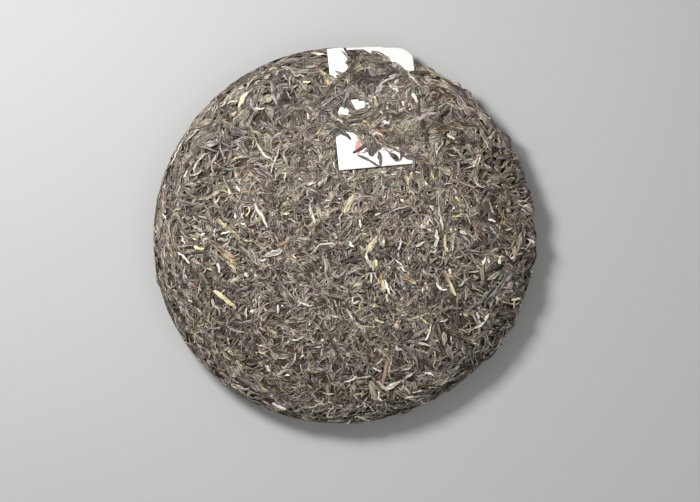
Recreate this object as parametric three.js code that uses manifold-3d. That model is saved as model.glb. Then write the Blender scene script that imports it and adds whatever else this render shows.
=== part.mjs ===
// A large round cake of pressed dark tea leaves with a paper ticket pressed into its face.
// Millimetres, +Z up. The cake lies on its back with the shown face up, and +Y points to the edge
// where the ticket is. The origin is the middle of the back, level with the flat ring it rests on.

import * as THREE from 'three';
import { mergeVertices } from 'three/addons/utils/BufferGeometryUtils.js';
import Module from 'manifold-3d';

// Driving dimensions of the cake
const CAKE_DIAMETER = 345;
const CAKE_HEIGHT = 50;
const LEAF_RELIEF = 1.5; // how far the outer leaves stand proud of the pressed body
const WIDEST_HEIGHT = 21; // where the side is widest
const RESTING_RADIUS = 150; // the outer edge of the flat ring on the back
const KNOT_RADIUS = 52; // the hollow that the knot of the pressing cloth leaves in the back
const KNOT_DEPTH = 16;

// Driving dimensions of the ticket, whose near corner is given on the unrolled face
const TICKET_WIDTH = 78;
const TICKET_LENGTH = 118;
const TICKET_THICKNESS = 0.4;
const TICKET_TURN = THREE.MathUtils.degToRad(5.5);
const TICKET_CORNER = new THREE.Vector2(-2.6, 56.3);
const TICKET_LIFT = 0.7; // above the pressed body
const TICKET_WAVE = 0.35;
const WAVE_ACROSS = 37; // lengths of the slow waves in the paper
const WAVE_ALONG = 57;
const PAPER_LEAVES = 170; // the arc from the middle of the face past which the stiff paper goes on straight
const TICKET_COLUMNS = 10;
const TICKET_ROWS = 16;
const CLEARANCE = 0.3; // between the ticket and the leaves all round it

// The mat of leaves over the ticket, by its uneven edge in the ticket's own axes, counterclockwise
const MAT_EDGE = [
  [-7, 84], [-8, 58], [-6, 38], [10, 32], [20, 33], [25, 15], [44, 15], [61, 11], [70, 3],
  [84, 8], [86, 40], [85, 70], [84, 86], [71, 90], [58, 106], [40, 109], [24, 109], [16, 94],
];
const MAT_MIDDLE = [42, 60];
const MAT_HEIGHT = 3.4; // above the pressed body
const MAT_ROOT = -3;
const MAT_EDGE_DROP = 0.8; // how much lower the mat is at its edge, where it lies on the ticket
const MAT_RINGS = [0.28, 0.52, 0.76, 1]; // as shares of the way from its middle to its edge
const MAT_SPOKES = 48;

// Leaf sizes
const LEAF_LENGTH = [18, 36];
const LEAF_WIDTH = [3.2, 5.6];
const LEAF_FLATNESS = 0.75; // thickness as a share of width
const LEAF_TILT = 1.2; // how far a leaf's ends sink below the pressed surface
const LEAF_KEEL = 1.6; // how much deeper its underside goes, so that no gap is left below it
const LEAF_SIDES = 3;
const LEAF_STATIONS = [-1, -0.45, 0.45, 1]; // from end to end, in half lengths
const FACE_LEAVES = 105;
const SIDE_LEAVES = 36;

// The frayed stretch of the side, where leaves stand out with one end free
const FRAYED_LEAVES = 14;
const FRAYED_FROM = THREE.MathUtils.degToRad(-46);
const FRAYED_TO = THREE.MathUtils.degToRad(14);
const FRAYED_LENGTH = [22, 34];
const FRAYED_WIDTH = 4.2;
const FRAYED_REACH = [1.5, 3.2]; // how far the free end stands off

// Relief of the pressed body, made of bumps as large as a leaf
const FACE_BUMP = 0.9;
const FACE_STEP = 10.5;
const BACK_STEP = 20;
const ROUNDNESS_ERROR = 0.7;
const HEIGHT_ERROR = 0.6;

const LEAF_COLOUR = 0x6b6156;
const PAPER_COLOUR = 0xd9d3c4;

// One stream of random numbers, so that the cake comes out the same each time
const random = seededRandom(357);

function seededRandom(seed) {
  let state = seed;
  return () => {
    state = (state + 0x6d2b79f5) | 0;
    let mixed = Math.imul(state ^ (state >>> 15), 1 | state);
    mixed = (mixed + Math.imul(mixed ^ (mixed >>> 7), 61 | mixed)) ^ mixed;
    return ((mixed ^ (mixed >>> 14)) >>> 0) / 4294967296;
  };
}

function between([low, high]) {
  return low + (high - low) * random();
}

// The half section of the pressed body, from the middle of the face round the side to the middle
// of the back. x is the radius and y the height.
const bodyRadius = CAKE_DIAMETER / 2 - LEAF_RELIEF;
const bodyHeight = CAKE_HEIGHT - LEAF_RELIEF;
const section = new THREE.Path()
  .moveTo(0, bodyHeight)
  .bezierCurveTo(0.65 * bodyRadius, bodyHeight, bodyRadius, 0.84 * bodyHeight, bodyRadius, WIDEST_HEIGHT)
  .bezierCurveTo(bodyRadius, 0.4 * WIDEST_HEIGHT, RESTING_RADIUS + 12, 0, RESTING_RADIUS, 0)
  .lineTo(KNOT_RADIUS, 0)
  .bezierCurveTo(0.72 * KNOT_RADIUS, 0, 0.7 * KNOT_RADIUS, KNOT_DEPTH, 0, KNOT_DEPTH);

// The section as evenly spaced samples, each with its outward direction
const SAMPLE_STEP = 0.5;
const sectionLength = section.getLength();
const samples = section.getSpacedPoints(Math.round(sectionLength / SAMPLE_STEP));
const outward = samples.map((point, i) => {
  const ahead = samples[Math.min(i + 1, samples.length - 1)];
  const behind = samples[Math.max(i - 1, 0)];
  return new THREE.Vector2(behind.y - ahead.y, ahead.x - behind.x).normalize();
});

// A point on the body at an arc length from the middle of the face and an azimuth, lifted off it
function bodyPoint(arc, azimuth, lift = 0) {
  const place = THREE.MathUtils.clamp(arc / sectionLength, 0, 1) * (samples.length - 1);
  const i = Math.min(Math.floor(place), samples.length - 2);
  const on = samples[i].clone().lerp(samples[i + 1], place - i);
  const out = outward[i].clone().lerp(outward[i + 1], place - i);
  return swungRound(on.addScaledVector(out, lift), azimuth);
}

// The nearest point of the body to any point, and the direction out of the body there
function nearestOnBody(point) {
  const radius = Math.hypot(point.x, point.y);
  let best = 0;
  samples.forEach((sample, i) => {
    const reach = (sample.x - radius) ** 2 + (sample.y - point.z) ** 2;
    const bestReach = (samples[best].x - radius) ** 2 + (samples[best].y - point.z) ** 2;
    if (reach < bestReach) best = i;
  });
  const azimuth = Math.atan2(point.y, point.x);
  return { on: swungRound(samples[best], azimuth), normal: swungRound(outward[best], azimuth) };
}

// A point or direction of the half section, turned about the cake's axis
function swungRound(flat, azimuth) {
  return new THREE.Vector3(flat.x * Math.cos(azimuth), flat.x * Math.sin(azimuth), flat.y);
}

// A point of the face in the ticket's own axes, p across it from its left side and q along it from
// its near side. Its arc is its distance from the middle on the unrolled face. Paper bends one way
// only, so the point keeps its x, and y is what then gives the section's radius at that arc.
function ticketPoint(p, q, lift) {
  const across = new THREE.Vector2(Math.cos(TICKET_TURN), Math.sin(TICKET_TURN));
  const along = new THREE.Vector2(-Math.sin(TICKET_TURN), Math.cos(TICKET_TURN));
  const flat = TICKET_CORNER.clone().addScaledVector(across, p).addScaledVector(along, q);
  const azimuth = Math.acos(flat.x / paperSection(flat.length(), 0).x);
  return unevenly(swungRound(paperSection(flat.length(), lift), azimuth));
}

// The section that the paper follows: the body's, and past the arc where it leaves, a straight line
function paperSection(arc, lift) {
  const { x, z } = bodyPoint(Math.min(arc, PAPER_LEAVES), 0, lift);
  const ahead = bodyPoint(PAPER_LEAVES + SAMPLE_STEP, 0);
  const direction = ahead.sub(bodyPoint(PAPER_LEAVES - SAMPLE_STEP, 0)).normalize();
  const past = Math.max(0, arc - PAPER_LEAVES);
  return new THREE.Vector2(x + past * direction.x, z + past * direction.z);
}

function geometryOf(points, triangles) {
  const geometry = new THREE.BufferGeometry();
  geometry.setAttribute('position', new THREE.Float32BufferAttribute(points.flatMap((p) => p.toArray()), 3));
  geometry.setIndex(triangles);
  return geometry;
}

// Joins two closed rings of points with triangles, whatever number of points each has
function stitchRings(triangles, inner, outer) {
  const innerSteps = inner.length === 1 ? 0 : inner.length;
  const outerSteps = outer.length === 1 ? 0 : outer.length;
  let i = 0;
  let j = 0;
  while (i < innerSteps || j < outerSteps) {
    const a = inner[i % inner.length];
    const b = outer[j % outer.length];
    const innerIsNext = j >= outerSteps || (i < innerSteps && (i + 1) / innerSteps <= (j + 1) / outerSteps);
    if (innerIsNext) {
      i += 1;
      triangles.push(a, b, inner[i % inner.length]);
    } else {
      j += 1;
      triangles.push(a, b, outer[j % outer.length]);
    }
  }
}

// The pressed body: rings of points along the section, each moved in or out by a bump
function pressedBody() {
  const points = [];
  const rings = [];
  const flatStart = nearestArc(RESTING_RADIUS, 0);
  const flatEnd = nearestArc(KNOT_RADIUS, 0);
  let arc = 0;
  while (arc < sectionLength) {
    const onBack = arc >= flatStart - 0.01;
    const flat = onBack && arc <= flatEnd + 0.01;
    const radius = bodyPoint(arc, 0).x;
    const step = onBack ? BACK_STEP : FACE_STEP;
    const count = arc === 0 ? 1 : Math.max(6, Math.round((2 * Math.PI * radius) / step));
    const ring = [];
    for (let i = 0; i < count; i += 1) {
      const azimuth = ((i + 0.5 * (rings.length % 2)) / count) * 2 * Math.PI;
      const bump = flat ? 0 : FACE_BUMP * (2 * random() - 1);
      ring.push(points.length);
      points.push(bodyPoint(arc, azimuth, bump));
    }
    rings.push(ring);
    const next = arc + step;
    arc = arc < flatStart && next > flatStart - 0.4 * step ? flatStart : next;
    if (flat && arc < flatEnd && arc + BACK_STEP > flatEnd) arc = flatEnd;
    if (sectionLength - arc < 0.4 * step) break;
  }
  rings.push([points.length]);
  points.push(bodyPoint(sectionLength, 0));
  const triangles = [];
  for (let i = 0; i + 1 < rings.length; i += 1) stitchRings(triangles, rings[i], rings[i + 1]);
  return geometryOf(points.map(unevenly), triangles);
}

function nearestArc(radius, height) {
  const target = new THREE.Vector2(radius, height);
  const gaps = samples.map((sample) => sample.distanceTo(target));
  return gaps.indexOf(Math.min(...gaps)) * (sectionLength / (samples.length - 1));
}

// The slow unevenness of a hand pressed cake. The flat ring on the back stays level.
function unevenly(point) {
  const azimuth = Math.atan2(point.y, point.x);
  const reach = Math.hypot(point.x, point.y) / bodyRadius;
  const wide = ROUNDNESS_ERROR * (Math.sin(2 * azimuth + 0.6) + 0.7 * Math.sin(3 * azimuth + 2.1));
  const scale = 1 + (wide * reach) / bodyRadius;
  const tall = HEIGHT_ERROR * Math.sin(azimuth * 2 + 3.4 * reach) * reach * (point.z / bodyHeight);
  return new THREE.Vector3(point.x * scale, point.y * scale, point.z + tall);
}

// A rolled leaf: a strip with a ridge, pointed ends and a slight twist, half sunk in the body
function rolledLeaf({ middle, heading, length, width, lift, bend = 0, loose = 0 }) {
  const keel = loose > 0 ? 0 : LEAF_KEEL;
  const overMat = isOverMat(middle);
  const { on, normal } = nearestOnBody(middle);
  const east = new THREE.Vector3(-on.y, on.x, 0).normalize();
  const inward = new THREE.Vector3().crossVectors(normal, east);
  const along = east.multiplyScalar(Math.cos(heading)).addScaledVector(inward, Math.sin(heading));
  const twist = 0.6 * (random() - 0.5);
  const points = [];
  const rings = [];
  LEAF_STATIONS.forEach((t, i) => {
    const across = new THREE.Vector3().crossVectors(normal, along);
    const straight = on
      .clone()
      .addScaledVector(along, (t * length) / 2)
      .addScaledVector(across, bend * (1 - t * t));
    const foot = nearestOnBody(straight);
    const isTip = i === 0 || i === LEAF_STATIONS.length - 1;
    const sunk = (isTip ? -LEAF_TILT : lift) + (overMat ? MAT_HEIGHT : 0);
    const raised = sunk + loose * Math.max(0, t) ** 2;
    const axis = unevenly(foot.on).addScaledVector(foot.normal, raised);
    if (isTip) {
      rings.push([points.length]);
      points.push(axis);
      return;
    }
    const side = new THREE.Vector3().crossVectors(foot.normal, along).normalize();
    const half = width / 2;
    const ring = [];
    for (let k = 0; k < LEAF_SIDES; k += 1) {
      const turn = twist * t + Math.PI / 2 + (k * 2 * Math.PI) / LEAF_SIDES;
      const isUnderside = Math.sin(turn) < 0;
      const height = LEAF_FLATNESS * half * Math.sin(turn) - (isUnderside ? keel : 0);
      const corner = axis
        .clone()
        .addScaledVector(side, half * Math.cos(turn))
        .addScaledVector(foot.normal, height);
      ring.push(points.length);
      points.push(corner);
    }
    rings.push(ring);
  });
  const triangles = [];
  for (let i = 0; i + 1 < rings.length; i += 1) stitchRings(triangles, rings[i + 1], rings[i]);
  return geometryOf(points, triangles);
}

// Whether a point of the face lies over the mat that covers the ticket
function isOverMat(point) {
  const reach = nearestArc(Math.hypot(point.x, point.y), point.z);
  const northward = Math.sign(point.y) * Math.sqrt(Math.max(0, reach ** 2 - point.x ** 2));
  const corner = new THREE.Vector2(point.x, northward).sub(TICKET_CORNER);
  const { x, y } = corner.rotateAround(new THREE.Vector2(), -TICKET_TURN);
  let inside = false;
  MAT_EDGE.forEach(([p1, q1], i) => {
    const [p2, q2] = MAT_EDGE[(i + 1) % MAT_EDGE.length];
    const crosses = q1 > y !== q2 > y && x < p1 + ((p2 - p1) * (y - q1)) / (q2 - q1);
    if (crosses) inside = !inside;
  });
  return inside;
}

// Leaves spread evenly over the face by the golden angle, and round the side
function scatteredLeaves() {
  const leaves = [];
  const goldenAngle = Math.PI * (3 - Math.sqrt(5));
  const faceArc = nearestArc(bodyRadius, WIDEST_HEIGHT) - 22;
  for (let i = 0; i < FACE_LEAVES; i += 1) {
    const arc = faceArc * Math.sqrt((i + 0.5) / FACE_LEAVES) + 3 * (random() - 0.5);
    const middle = bodyPoint(arc, i * goldenAngle);
    const heading = Math.PI * random();
    leaves.push({ middle, heading, bend: 5 * (random() - 0.5), ...leafSize() });
  }
  for (let i = 0; i < SIDE_LEAVES; i += 1) {
    const azimuth = (i / SIDE_LEAVES) * 2 * Math.PI;
    const middle = bodyPoint(faceArc + 14 + 24 * random(), azimuth);
    const heading = 0.9 * (random() - 0.5);
    leaves.push({ middle, heading, bend: 3 * (random() - 0.5), ...leafSize() });
  }
  return leaves;
}

function leafSize() {
  return { length: between(LEAF_LENGTH), width: between(LEAF_WIDTH), lift: 0.2 + 0.5 * random() };
}

// Loose leaves that stand out from the frayed side, each with one end free
function frayedLeaves() {
  const leaves = [];
  const widest = nearestArc(bodyRadius, WIDEST_HEIGHT);
  for (let i = 0; i < FRAYED_LEAVES; i += 1) {
    const azimuth = FRAYED_FROM + ((FRAYED_TO - FRAYED_FROM) * (i + 0.5)) / FRAYED_LEAVES;
    const middle = bodyPoint(widest - 16 + 26 * ((i * 0.618) % 1), azimuth);
    const heading = (i % 2 ? 0.5 : -0.6) + 0.5 * (random() - 0.5);
    const length = between(FRAYED_LENGTH);
    leaves.push({ middle, heading, length, width: FRAYED_WIDTH, lift: 1, loose: between(FRAYED_REACH) });
  }
  return leaves;
}

// The ticket as a thin wavy sheet on the face, grown on every side by a margin
function ticketSheet(margin) {
  const columns = TICKET_COLUMNS;
  const rows = TICKET_ROWS;
  const points = [];
  for (const isTop of [false, true]) {
    for (let j = 0; j <= rows; j += 1) {
      for (let i = 0; i <= columns; i += 1) {
        const p = -margin + ((TICKET_WIDTH + 2 * margin) * i) / columns;
        const q = -margin + ((TICKET_LENGTH + 2 * margin) * j) / rows;
        const waveAcross = Math.sin((2 * Math.PI * p) / WAVE_ACROSS + 0.6);
        const wave = TICKET_WAVE * waveAcross * Math.cos((2 * Math.PI * q) / WAVE_ALONG);
        const layer = isTop ? TICKET_THICKNESS + margin : -margin;
        points.push(ticketPoint(p, q, TICKET_LIFT + wave + layer));
      }
    }
  }
  const layerSize = (columns + 1) * (rows + 1);
  const triangles = [];
  const quad = (a, b, c, d) => triangles.push(a, b, c, a, c, d);
  const at = (i, j, top) => (top ? layerSize : 0) + j * (columns + 1) + i;
  for (let j = 0; j < rows; j += 1) {
    for (let i = 0; i < columns; i += 1) {
      quad(at(i, j, true), at(i + 1, j, true), at(i + 1, j + 1, true), at(i, j + 1, true));
      triangles.push(at(i, j), at(i + 1, j + 1), at(i + 1, j), at(i, j), at(i, j + 1), at(i + 1, j + 1));
    }
  }
  for (let i = 0; i < columns; i += 1) {
    quad(at(i, 0), at(i + 1, 0), at(i + 1, 0, true), at(i, 0, true));
    quad(at(i + 1, rows), at(i, rows), at(i, rows, true), at(i + 1, rows, true));
  }
  for (let j = 0; j < rows; j += 1) {
    quad(at(0, j + 1), at(0, j), at(0, j, true), at(0, j + 1, true));
    quad(at(columns, j), at(columns, j + 1), at(columns, j + 1, true), at(columns, j, true));
  }
  return geometryOf(points, triangles);
}

// The mat of leaves that crosses the middle of the ticket. Its underside is sunk in the body.
function leafMat() {
  const edge = new THREE.CatmullRomCurve3(MAT_EDGE.map(([p, q]) => new THREE.Vector3(p, q, 0)), true);
  const middle = new THREE.Vector3(...MAT_MIDDLE, 0);
  const points = [];
  const place = (share, i, lift) => {
    const at = middle.clone().lerp(edge.getPointAt(i / MAT_SPOKES), share);
    const isEdge = share === 1;
    const isBesideTicket = at.x < 0 || at.x > TICKET_WIDTH;
    const edgeLift = isBesideTicket ? 0 : lift - MAT_EDGE_DROP;
    points.push(ticketPoint(at.x, at.y, isEdge && lift > 0 ? edgeLift : lift));
    return points.length - 1;
  };
  const ringAt = (share, lift, bump) => {
    const ring = [];
    for (let i = 0; i < MAT_SPOKES; i += 1) ring.push(place(share, i, lift + bump * (random() - 0.5)));
    return ring;
  };
  const rings = [
    [place(0, 0, MAT_HEIGHT)],
    ...MAT_RINGS.map((share) => ringAt(share, MAT_HEIGHT, FACE_BUMP)),
    ringAt(1, MAT_ROOT, 0),
    [place(0, 0, MAT_ROOT)],
  ];
  const triangles = [];
  for (let i = 0; i + 1 < rings.length; i += 1) stitchRings(triangles, rings[i], rings[i + 1]);
  return geometryOf(points, triangles);
}

const wasm = await Module();
wasm.setup();

function solidOf(geometry) {
  const bare = geometry.clone();
  bare.deleteAttribute('normal');
  bare.deleteAttribute('uv');
  const merged = mergeVertices(bare, 1e-4);
  return new wasm.Manifold(new wasm.Mesh({
    numProp: 3,
    vertProperties: new Float32Array(merged.attributes.position.array),
    triVerts: new Uint32Array(merged.index.array),
  }));
}

function geometryFrom(solid) {
  const { vertProperties, triVerts } = solid.getMesh();
  const geometry = new THREE.BufferGeometry();
  geometry.setAttribute('position', new THREE.BufferAttribute(new Float32Array(vertProperties), 3));
  geometry.setIndex(new THREE.BufferAttribute(new Uint32Array(triVerts), 1));
  geometry.computeVertexNormals();
  return geometry;
}

function largestPiece(solid) {
  const pieces = solid.decompose();
  return pieces.reduce((best, piece) => (piece.volume() > best.volume() ? piece : best));
}

function teaCake() {
  const leaves = [...scatteredLeaves(), ...frayedLeaves()].map(rolledLeaf);
  const joined = wasm.Manifold.union([pressedBody(), leafMat(), ...leaves].map(solidOf));
  const slotted = joined.subtract(solidOf(ticketSheet(CLEARANCE)));
  return geometryFrom(largestPiece(slotted));
}

function piece(name, geometry, colour, roughness) {
  const material = new THREE.MeshStandardMaterial({ color: colour, roughness, metalness: 0 });
  const mesh = new THREE.Mesh(geometry, material);
  mesh.name = name;
  return mesh;
}

const part = new THREE.Group();
part.add(piece('tea_cake', teaCake(), LEAF_COLOUR, 0.75));
part.add(piece('paper_ticket', ticketSheet(0), PAPER_COLOUR, 0.9));

export default part;
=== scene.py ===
"""A large round cake of pressed dark tea leaves with a paper ticket pressed into its face.

The cake lies on its back with the shown face up and the ticket's edge towards +Y. Every leaf is
a closed strip swept along a curved path that hugs the pressed body. Lengths are in millimetres
until a mesh is made. An arc is a distance along the half section, from the middle of the face
round the side to the middle of the back.
"""
import math

import bpy
import numpy as np
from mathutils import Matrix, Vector


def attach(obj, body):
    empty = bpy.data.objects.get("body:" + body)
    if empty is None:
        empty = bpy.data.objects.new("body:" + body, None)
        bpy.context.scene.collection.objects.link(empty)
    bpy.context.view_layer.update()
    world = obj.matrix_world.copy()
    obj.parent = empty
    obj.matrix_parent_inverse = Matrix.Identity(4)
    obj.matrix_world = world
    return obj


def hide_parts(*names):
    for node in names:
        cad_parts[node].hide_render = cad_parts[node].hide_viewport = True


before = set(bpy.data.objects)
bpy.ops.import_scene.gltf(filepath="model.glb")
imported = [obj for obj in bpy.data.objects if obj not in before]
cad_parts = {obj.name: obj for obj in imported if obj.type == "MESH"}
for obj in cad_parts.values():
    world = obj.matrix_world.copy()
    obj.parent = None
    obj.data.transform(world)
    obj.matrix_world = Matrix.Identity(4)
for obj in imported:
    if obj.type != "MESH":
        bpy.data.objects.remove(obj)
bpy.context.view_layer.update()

MM = 0.001
TURN = 2 * math.pi
GOLDEN_ANGLE = math.pi * (3 - math.sqrt(5))
RNG = np.random.default_rng(357)

# The pressed body
CAKE_DIAMETER = 345.0
CAKE_HEIGHT = 50.0
LEAF_RELIEF = 1.5
WIDEST_HEIGHT = 21.0
RESTING_RADIUS = 150.0
KNOT_RADIUS = 52.0
KNOT_DEPTH = 16.0
ROUNDNESS_ERROR = 0.7
HEIGHT_ERROR = 0.6
BODY_RADIUS = CAKE_DIAMETER / 2 - LEAF_RELIEF
BODY_HEIGHT = CAKE_HEIGHT - LEAF_RELIEF

# The ticket, with its near left corner on the unrolled face
TICKET_WIDTH = 78.0
TICKET_LENGTH = 118.0
TICKET_TURN = math.radians(5.5)
TICKET_CORNER = (-2.6, 56.3)
TICKET_LIFT = 1.2
TICKET_THICKNESS = 0.14
PAPER_LEAVES = 170.0
DOG_EAR = 12.0
DOG_EAR_BEND = 0.035

# How the leaves lie: where they cross the ticket, where they dive under its edge, and how much of
# its height a leaf keeps above the level of the press
COVER_RISE = 1.9
EDGE_DIVE = -1.2
EDGE_REACH = 3.0
PRESS_KEEPS = 0.12
CREASE_ANGLE = math.radians(38)

# The stretch of the side that is frayed, by its middle, its half and where it fades, as azimuths, and
# how far inside the rim it begins and the arc over which it grows
FRAY_MIDDLE = math.radians(-4)
FRAY_HALF = math.radians(52)
FRAY_FADE = math.radians(24)
FRAY_REACH = 40.0
FRAY_GROWTH = 20.0

# The photograph's frame, in pixels
PHOTO_WIDTH = 700
PHOTO_MIDDLE = (350.0, 251.0)
CAKE_MIDDLE = (342.0, 234.5)
CAKE_PIXELS = 378.0
PIXEL = CAKE_DIAMETER / CAKE_PIXELS
CAMERA_DISTANCE = 2200.0
CAMERA_ELEVATION = math.radians(86)
FRAME_HEIGHT = 25.0

# How many leaves follow the slow turns in the way they lie, how far these turns swing, and how far
# a leaf strays from them
FLOW_SHARE = 0.72
FLOW_SWING = 1.9
FLOW_SPREAD = 0.32


def seeded_waves(shortest, longest, count=6):
    """Wavelengths, directions and phases of a few flat waves."""
    return RNG.uniform(shortest, longest, count), RNG.uniform(0, TURN, count), RNG.uniform(0, TURN, count)


# Waves of the way the leaves lie, of small patches of tone, of hue and of broad light and dark
FLOW_WAVES = seeded_waves(26, 95)
PATCH_WAVES = seeded_waves(16, 44, 10)
HUE_WAVES = seeded_waves(14, 60, 10)
BROAD_WAVES = seeded_waves(60, 160)


def bezier(start, first, second, end, count=300):
    """Cubic curve: the four points weighed by (1-t)^3, 3(1-t)^2 t, 3(1-t) t^2 and t^3."""
    t = np.linspace(0, 1, count)[:, None]
    points = np.array([start, first, second, end], float)
    weights = np.hstack([(1 - t) ** 3, 3 * (1 - t) ** 2 * t, 3 * (1 - t) * t ** 2, t ** 3])
    return weights @ points


def half_section(step=0.5):
    """Radius, height and outward direction at even arcs along the face, side, back and hollow."""
    face = bezier((0, BODY_HEIGHT), (0.65 * BODY_RADIUS, BODY_HEIGHT),
                  (BODY_RADIUS, 0.84 * BODY_HEIGHT), (BODY_RADIUS, WIDEST_HEIGHT))
    side = bezier((BODY_RADIUS, WIDEST_HEIGHT), (BODY_RADIUS, 0.4 * WIDEST_HEIGHT),
                  (RESTING_RADIUS + 12, 0), (RESTING_RADIUS, 0))
    knot = bezier((KNOT_RADIUS, 0), (0.72 * KNOT_RADIUS, 0),
                  (0.7 * KNOT_RADIUS, KNOT_DEPTH), (0, KNOT_DEPTH))
    curve = np.vstack([face, side[1:], knot])
    lengths = np.hypot(*np.diff(curve, axis=0).T)
    arcs = np.concatenate([[0], np.cumsum(lengths)])
    even = np.arange(0, arcs[-1], step)
    radius = np.interp(even, arcs, curve[:, 0])
    height = np.interp(even, arcs, curve[:, 1])
    along = np.stack([np.gradient(radius), np.gradient(height)], axis=1)
    along /= np.linalg.norm(along, axis=1, keepdims=True)
    return even, radius, height, -along[:, 1], along[:, 0]


ARCS, RADII, HEIGHTS, OUT_RADIAL, OUT_UP = half_section()
WIDEST_ARC = ARCS[RADII.argmax()]
RESTING_ARC = ARCS[np.argmax((RADII < RESTING_RADIUS) & (ARCS > WIDEST_ARC))]
FACE_END = WIDEST_ARC + 6

# Arcs where the fine middle of the face ends and the coarser ring begins, and how much closer
# together the leaves lie in the middle
FINE_MIDDLE = (75.0, 130.0)
CLOSER_IN_MIDDLE = 1.95
LEAVES_HERE = np.interp(ARCS, FINE_MIDDLE, (CLOSER_IN_MIDDLE, 1.0))
PLACES = np.cumsum(RADII * LEAVES_HERE)


def body_frame(arc, azimuth):
    """Point on the body, outward direction, and the two tangents: round the axis, and inward."""
    radius, height = np.interp(arc, ARCS, RADII), np.interp(arc, ARCS, HEIGHTS)
    radial, up = np.interp(arc, ARCS, OUT_RADIAL), np.interp(arc, ARCS, OUT_UP)
    cosine, sine = np.cos(azimuth), np.sin(azimuth)
    point = np.stack([radius * cosine, radius * sine, height], axis=-1)
    out = np.stack([radial * cosine, radial * sine, up], axis=-1)
    east = np.stack([-sine, cosine, np.zeros_like(cosine)], axis=-1)
    return point, out, east, np.cross(out, east)


def nearest_arc(points):
    """Arc of the section's sample with the least squared gap in radius and height to each point."""
    radius = np.hypot(points[..., 0], points[..., 1]).ravel()
    height = points[..., 2].ravel()
    best = np.empty(radius.size, int)
    for part in np.array_split(np.arange(radius.size), radius.size // 8000 + 1):
        gap = (radius[part, None] - RADII) ** 2 + (height[part, None] - HEIGHTS) ** 2
        best[part] = gap.argmin(axis=1)
    return ARCS[best].reshape(points.shape[:-1])


def unevenly(points):
    """The slow unevenness of a hand pressed cake: two and three waves round the axis."""
    azimuth = np.arctan2(points[..., 1], points[..., 0])
    reach = np.hypot(points[..., 0], points[..., 1]) / BODY_RADIUS
    wide = ROUNDNESS_ERROR * (np.sin(2 * azimuth + 0.6) + 0.7 * np.sin(3 * azimuth + 2.1))
    scale = 1 + wide * reach / BODY_RADIUS
    tall = HEIGHT_ERROR * np.sin(2 * azimuth + 3.4 * reach) * reach * points[..., 2] / BODY_HEIGHT
    return np.stack([points[..., 0] * scale, points[..., 1] * scale, points[..., 2] + tall], axis=-1)


def paper_section(arc, lift=0.0):
    """Radius and height that the paper follows: the body's section, then a straight line."""
    bent = np.minimum(arc, PAPER_LEAVES)
    past = np.maximum(arc - PAPER_LEAVES, 0)
    radius = np.interp(bent, ARCS, RADII) + lift * np.interp(bent, ARCS, OUT_RADIAL)
    height = np.interp(bent, ARCS, HEIGHTS) + lift * np.interp(bent, ARCS, OUT_UP)
    outward = np.interp(PAPER_LEAVES, ARCS, OUT_UP)
    downward = np.interp(PAPER_LEAVES, ARCS, OUT_RADIAL)
    return radius + past * outward, height - past * downward


def to_ticket(arc, azimuth):
    """Place in the ticket's own axes, across it and along it from its near side. Paper bends one way
    only, so x is kept, and the arc is the distance from the middle on the unrolled face."""
    x = paper_section(arc)[0] * np.cos(azimuth)
    y = np.sqrt(np.maximum(arc ** 2 - x ** 2, 0)) * np.sign(np.sin(azimuth))
    u, v = x - TICKET_CORNER[0], y - TICKET_CORNER[1]
    across = u * math.cos(TICKET_TURN) + v * math.sin(TICKET_TURN)
    along = v * math.cos(TICKET_TURN) - u * math.sin(TICKET_TURN)
    return across, along


def from_ticket(across, along):
    """Arc and azimuth of a place given in the ticket's own axes, the inverse of to_ticket."""
    x = TICKET_CORNER[0] + across * math.cos(TICKET_TURN) - along * math.sin(TICKET_TURN)
    y = TICKET_CORNER[1] + across * math.sin(TICKET_TURN) + along * math.cos(TICKET_TURN)
    arc = np.hypot(x, y)
    return arc, np.arccos(x / paper_section(arc)[0])


def from_photo(x, y):
    """Arc and azimuth of a pixel of the photograph that lies on the face, which is nearer to the camera
    than the plane that the frame is measured in, so it is larger there and a little higher."""
    above = BODY_HEIGHT - FRAME_HEIGHT
    nearer = CAMERA_DISTANCE / (CAMERA_DISTANCE - above)
    east = (np.asarray(x, float) - CAKE_MIDDLE[0]) * PIXEL / nearer
    north = (CAKE_MIDDLE[1] - np.asarray(y, float)) * PIXEL / nearer - above * math.cos(CAMERA_ELEVATION)
    face = ARCS <= WIDEST_ARC
    return np.interp(np.hypot(east, north), RADII[face], ARCS[face]), np.arctan2(north, east)


def inside(across, along, outline):
    """Even-odd test of many places against one closed outline."""
    hit = np.zeros(np.shape(across), bool)
    for (x1, y1), (x2, y2) in zip(outline, outline[1:] + outline[:1]):
        straddles = (y1 > along) != (y2 > along)
        crossing = x1 + (x2 - x1) * (along - y1) / ((y2 - y1) or 1e-9)
        hit ^= straddles & (across < crossing)
    return hit


# Where the ticket shows between the leaves, in its own axes
WINDOWS = {
    "near left": [(-1, -1), (63, -1), (67, 2), (62, 8), (50, 11), (41, 14), (35, 12), (27, 13), (20, 12),
                  (22, 16), (18, 27), (21, 35), (16, 36), (15, 31), (6, 30), (1, 36), (-1, 36)],
    "far left": [(-1, 125), (12, 125), (14, 116), (19, 106), (16, 101), (19, 96), (16, 91), (9, 90),
                 (3, 86), (-1, 86)],
    "far right": [(26, 125), (25, 112), (30, 111), (39, 111), (45, 108), (54, 104), (59, 96), (66, 89),
                  (69, 87), (86, 91), (86, 125)],
    "slit": [(17, 67.5), (25, 66), (31.5, 61), (30, 53.5), (18, 54)],
    "notch": [(1.5, 58), (15.5, 57.5), (13.5, 49.5), (8, 48), (3, 50.5)],
}

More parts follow.
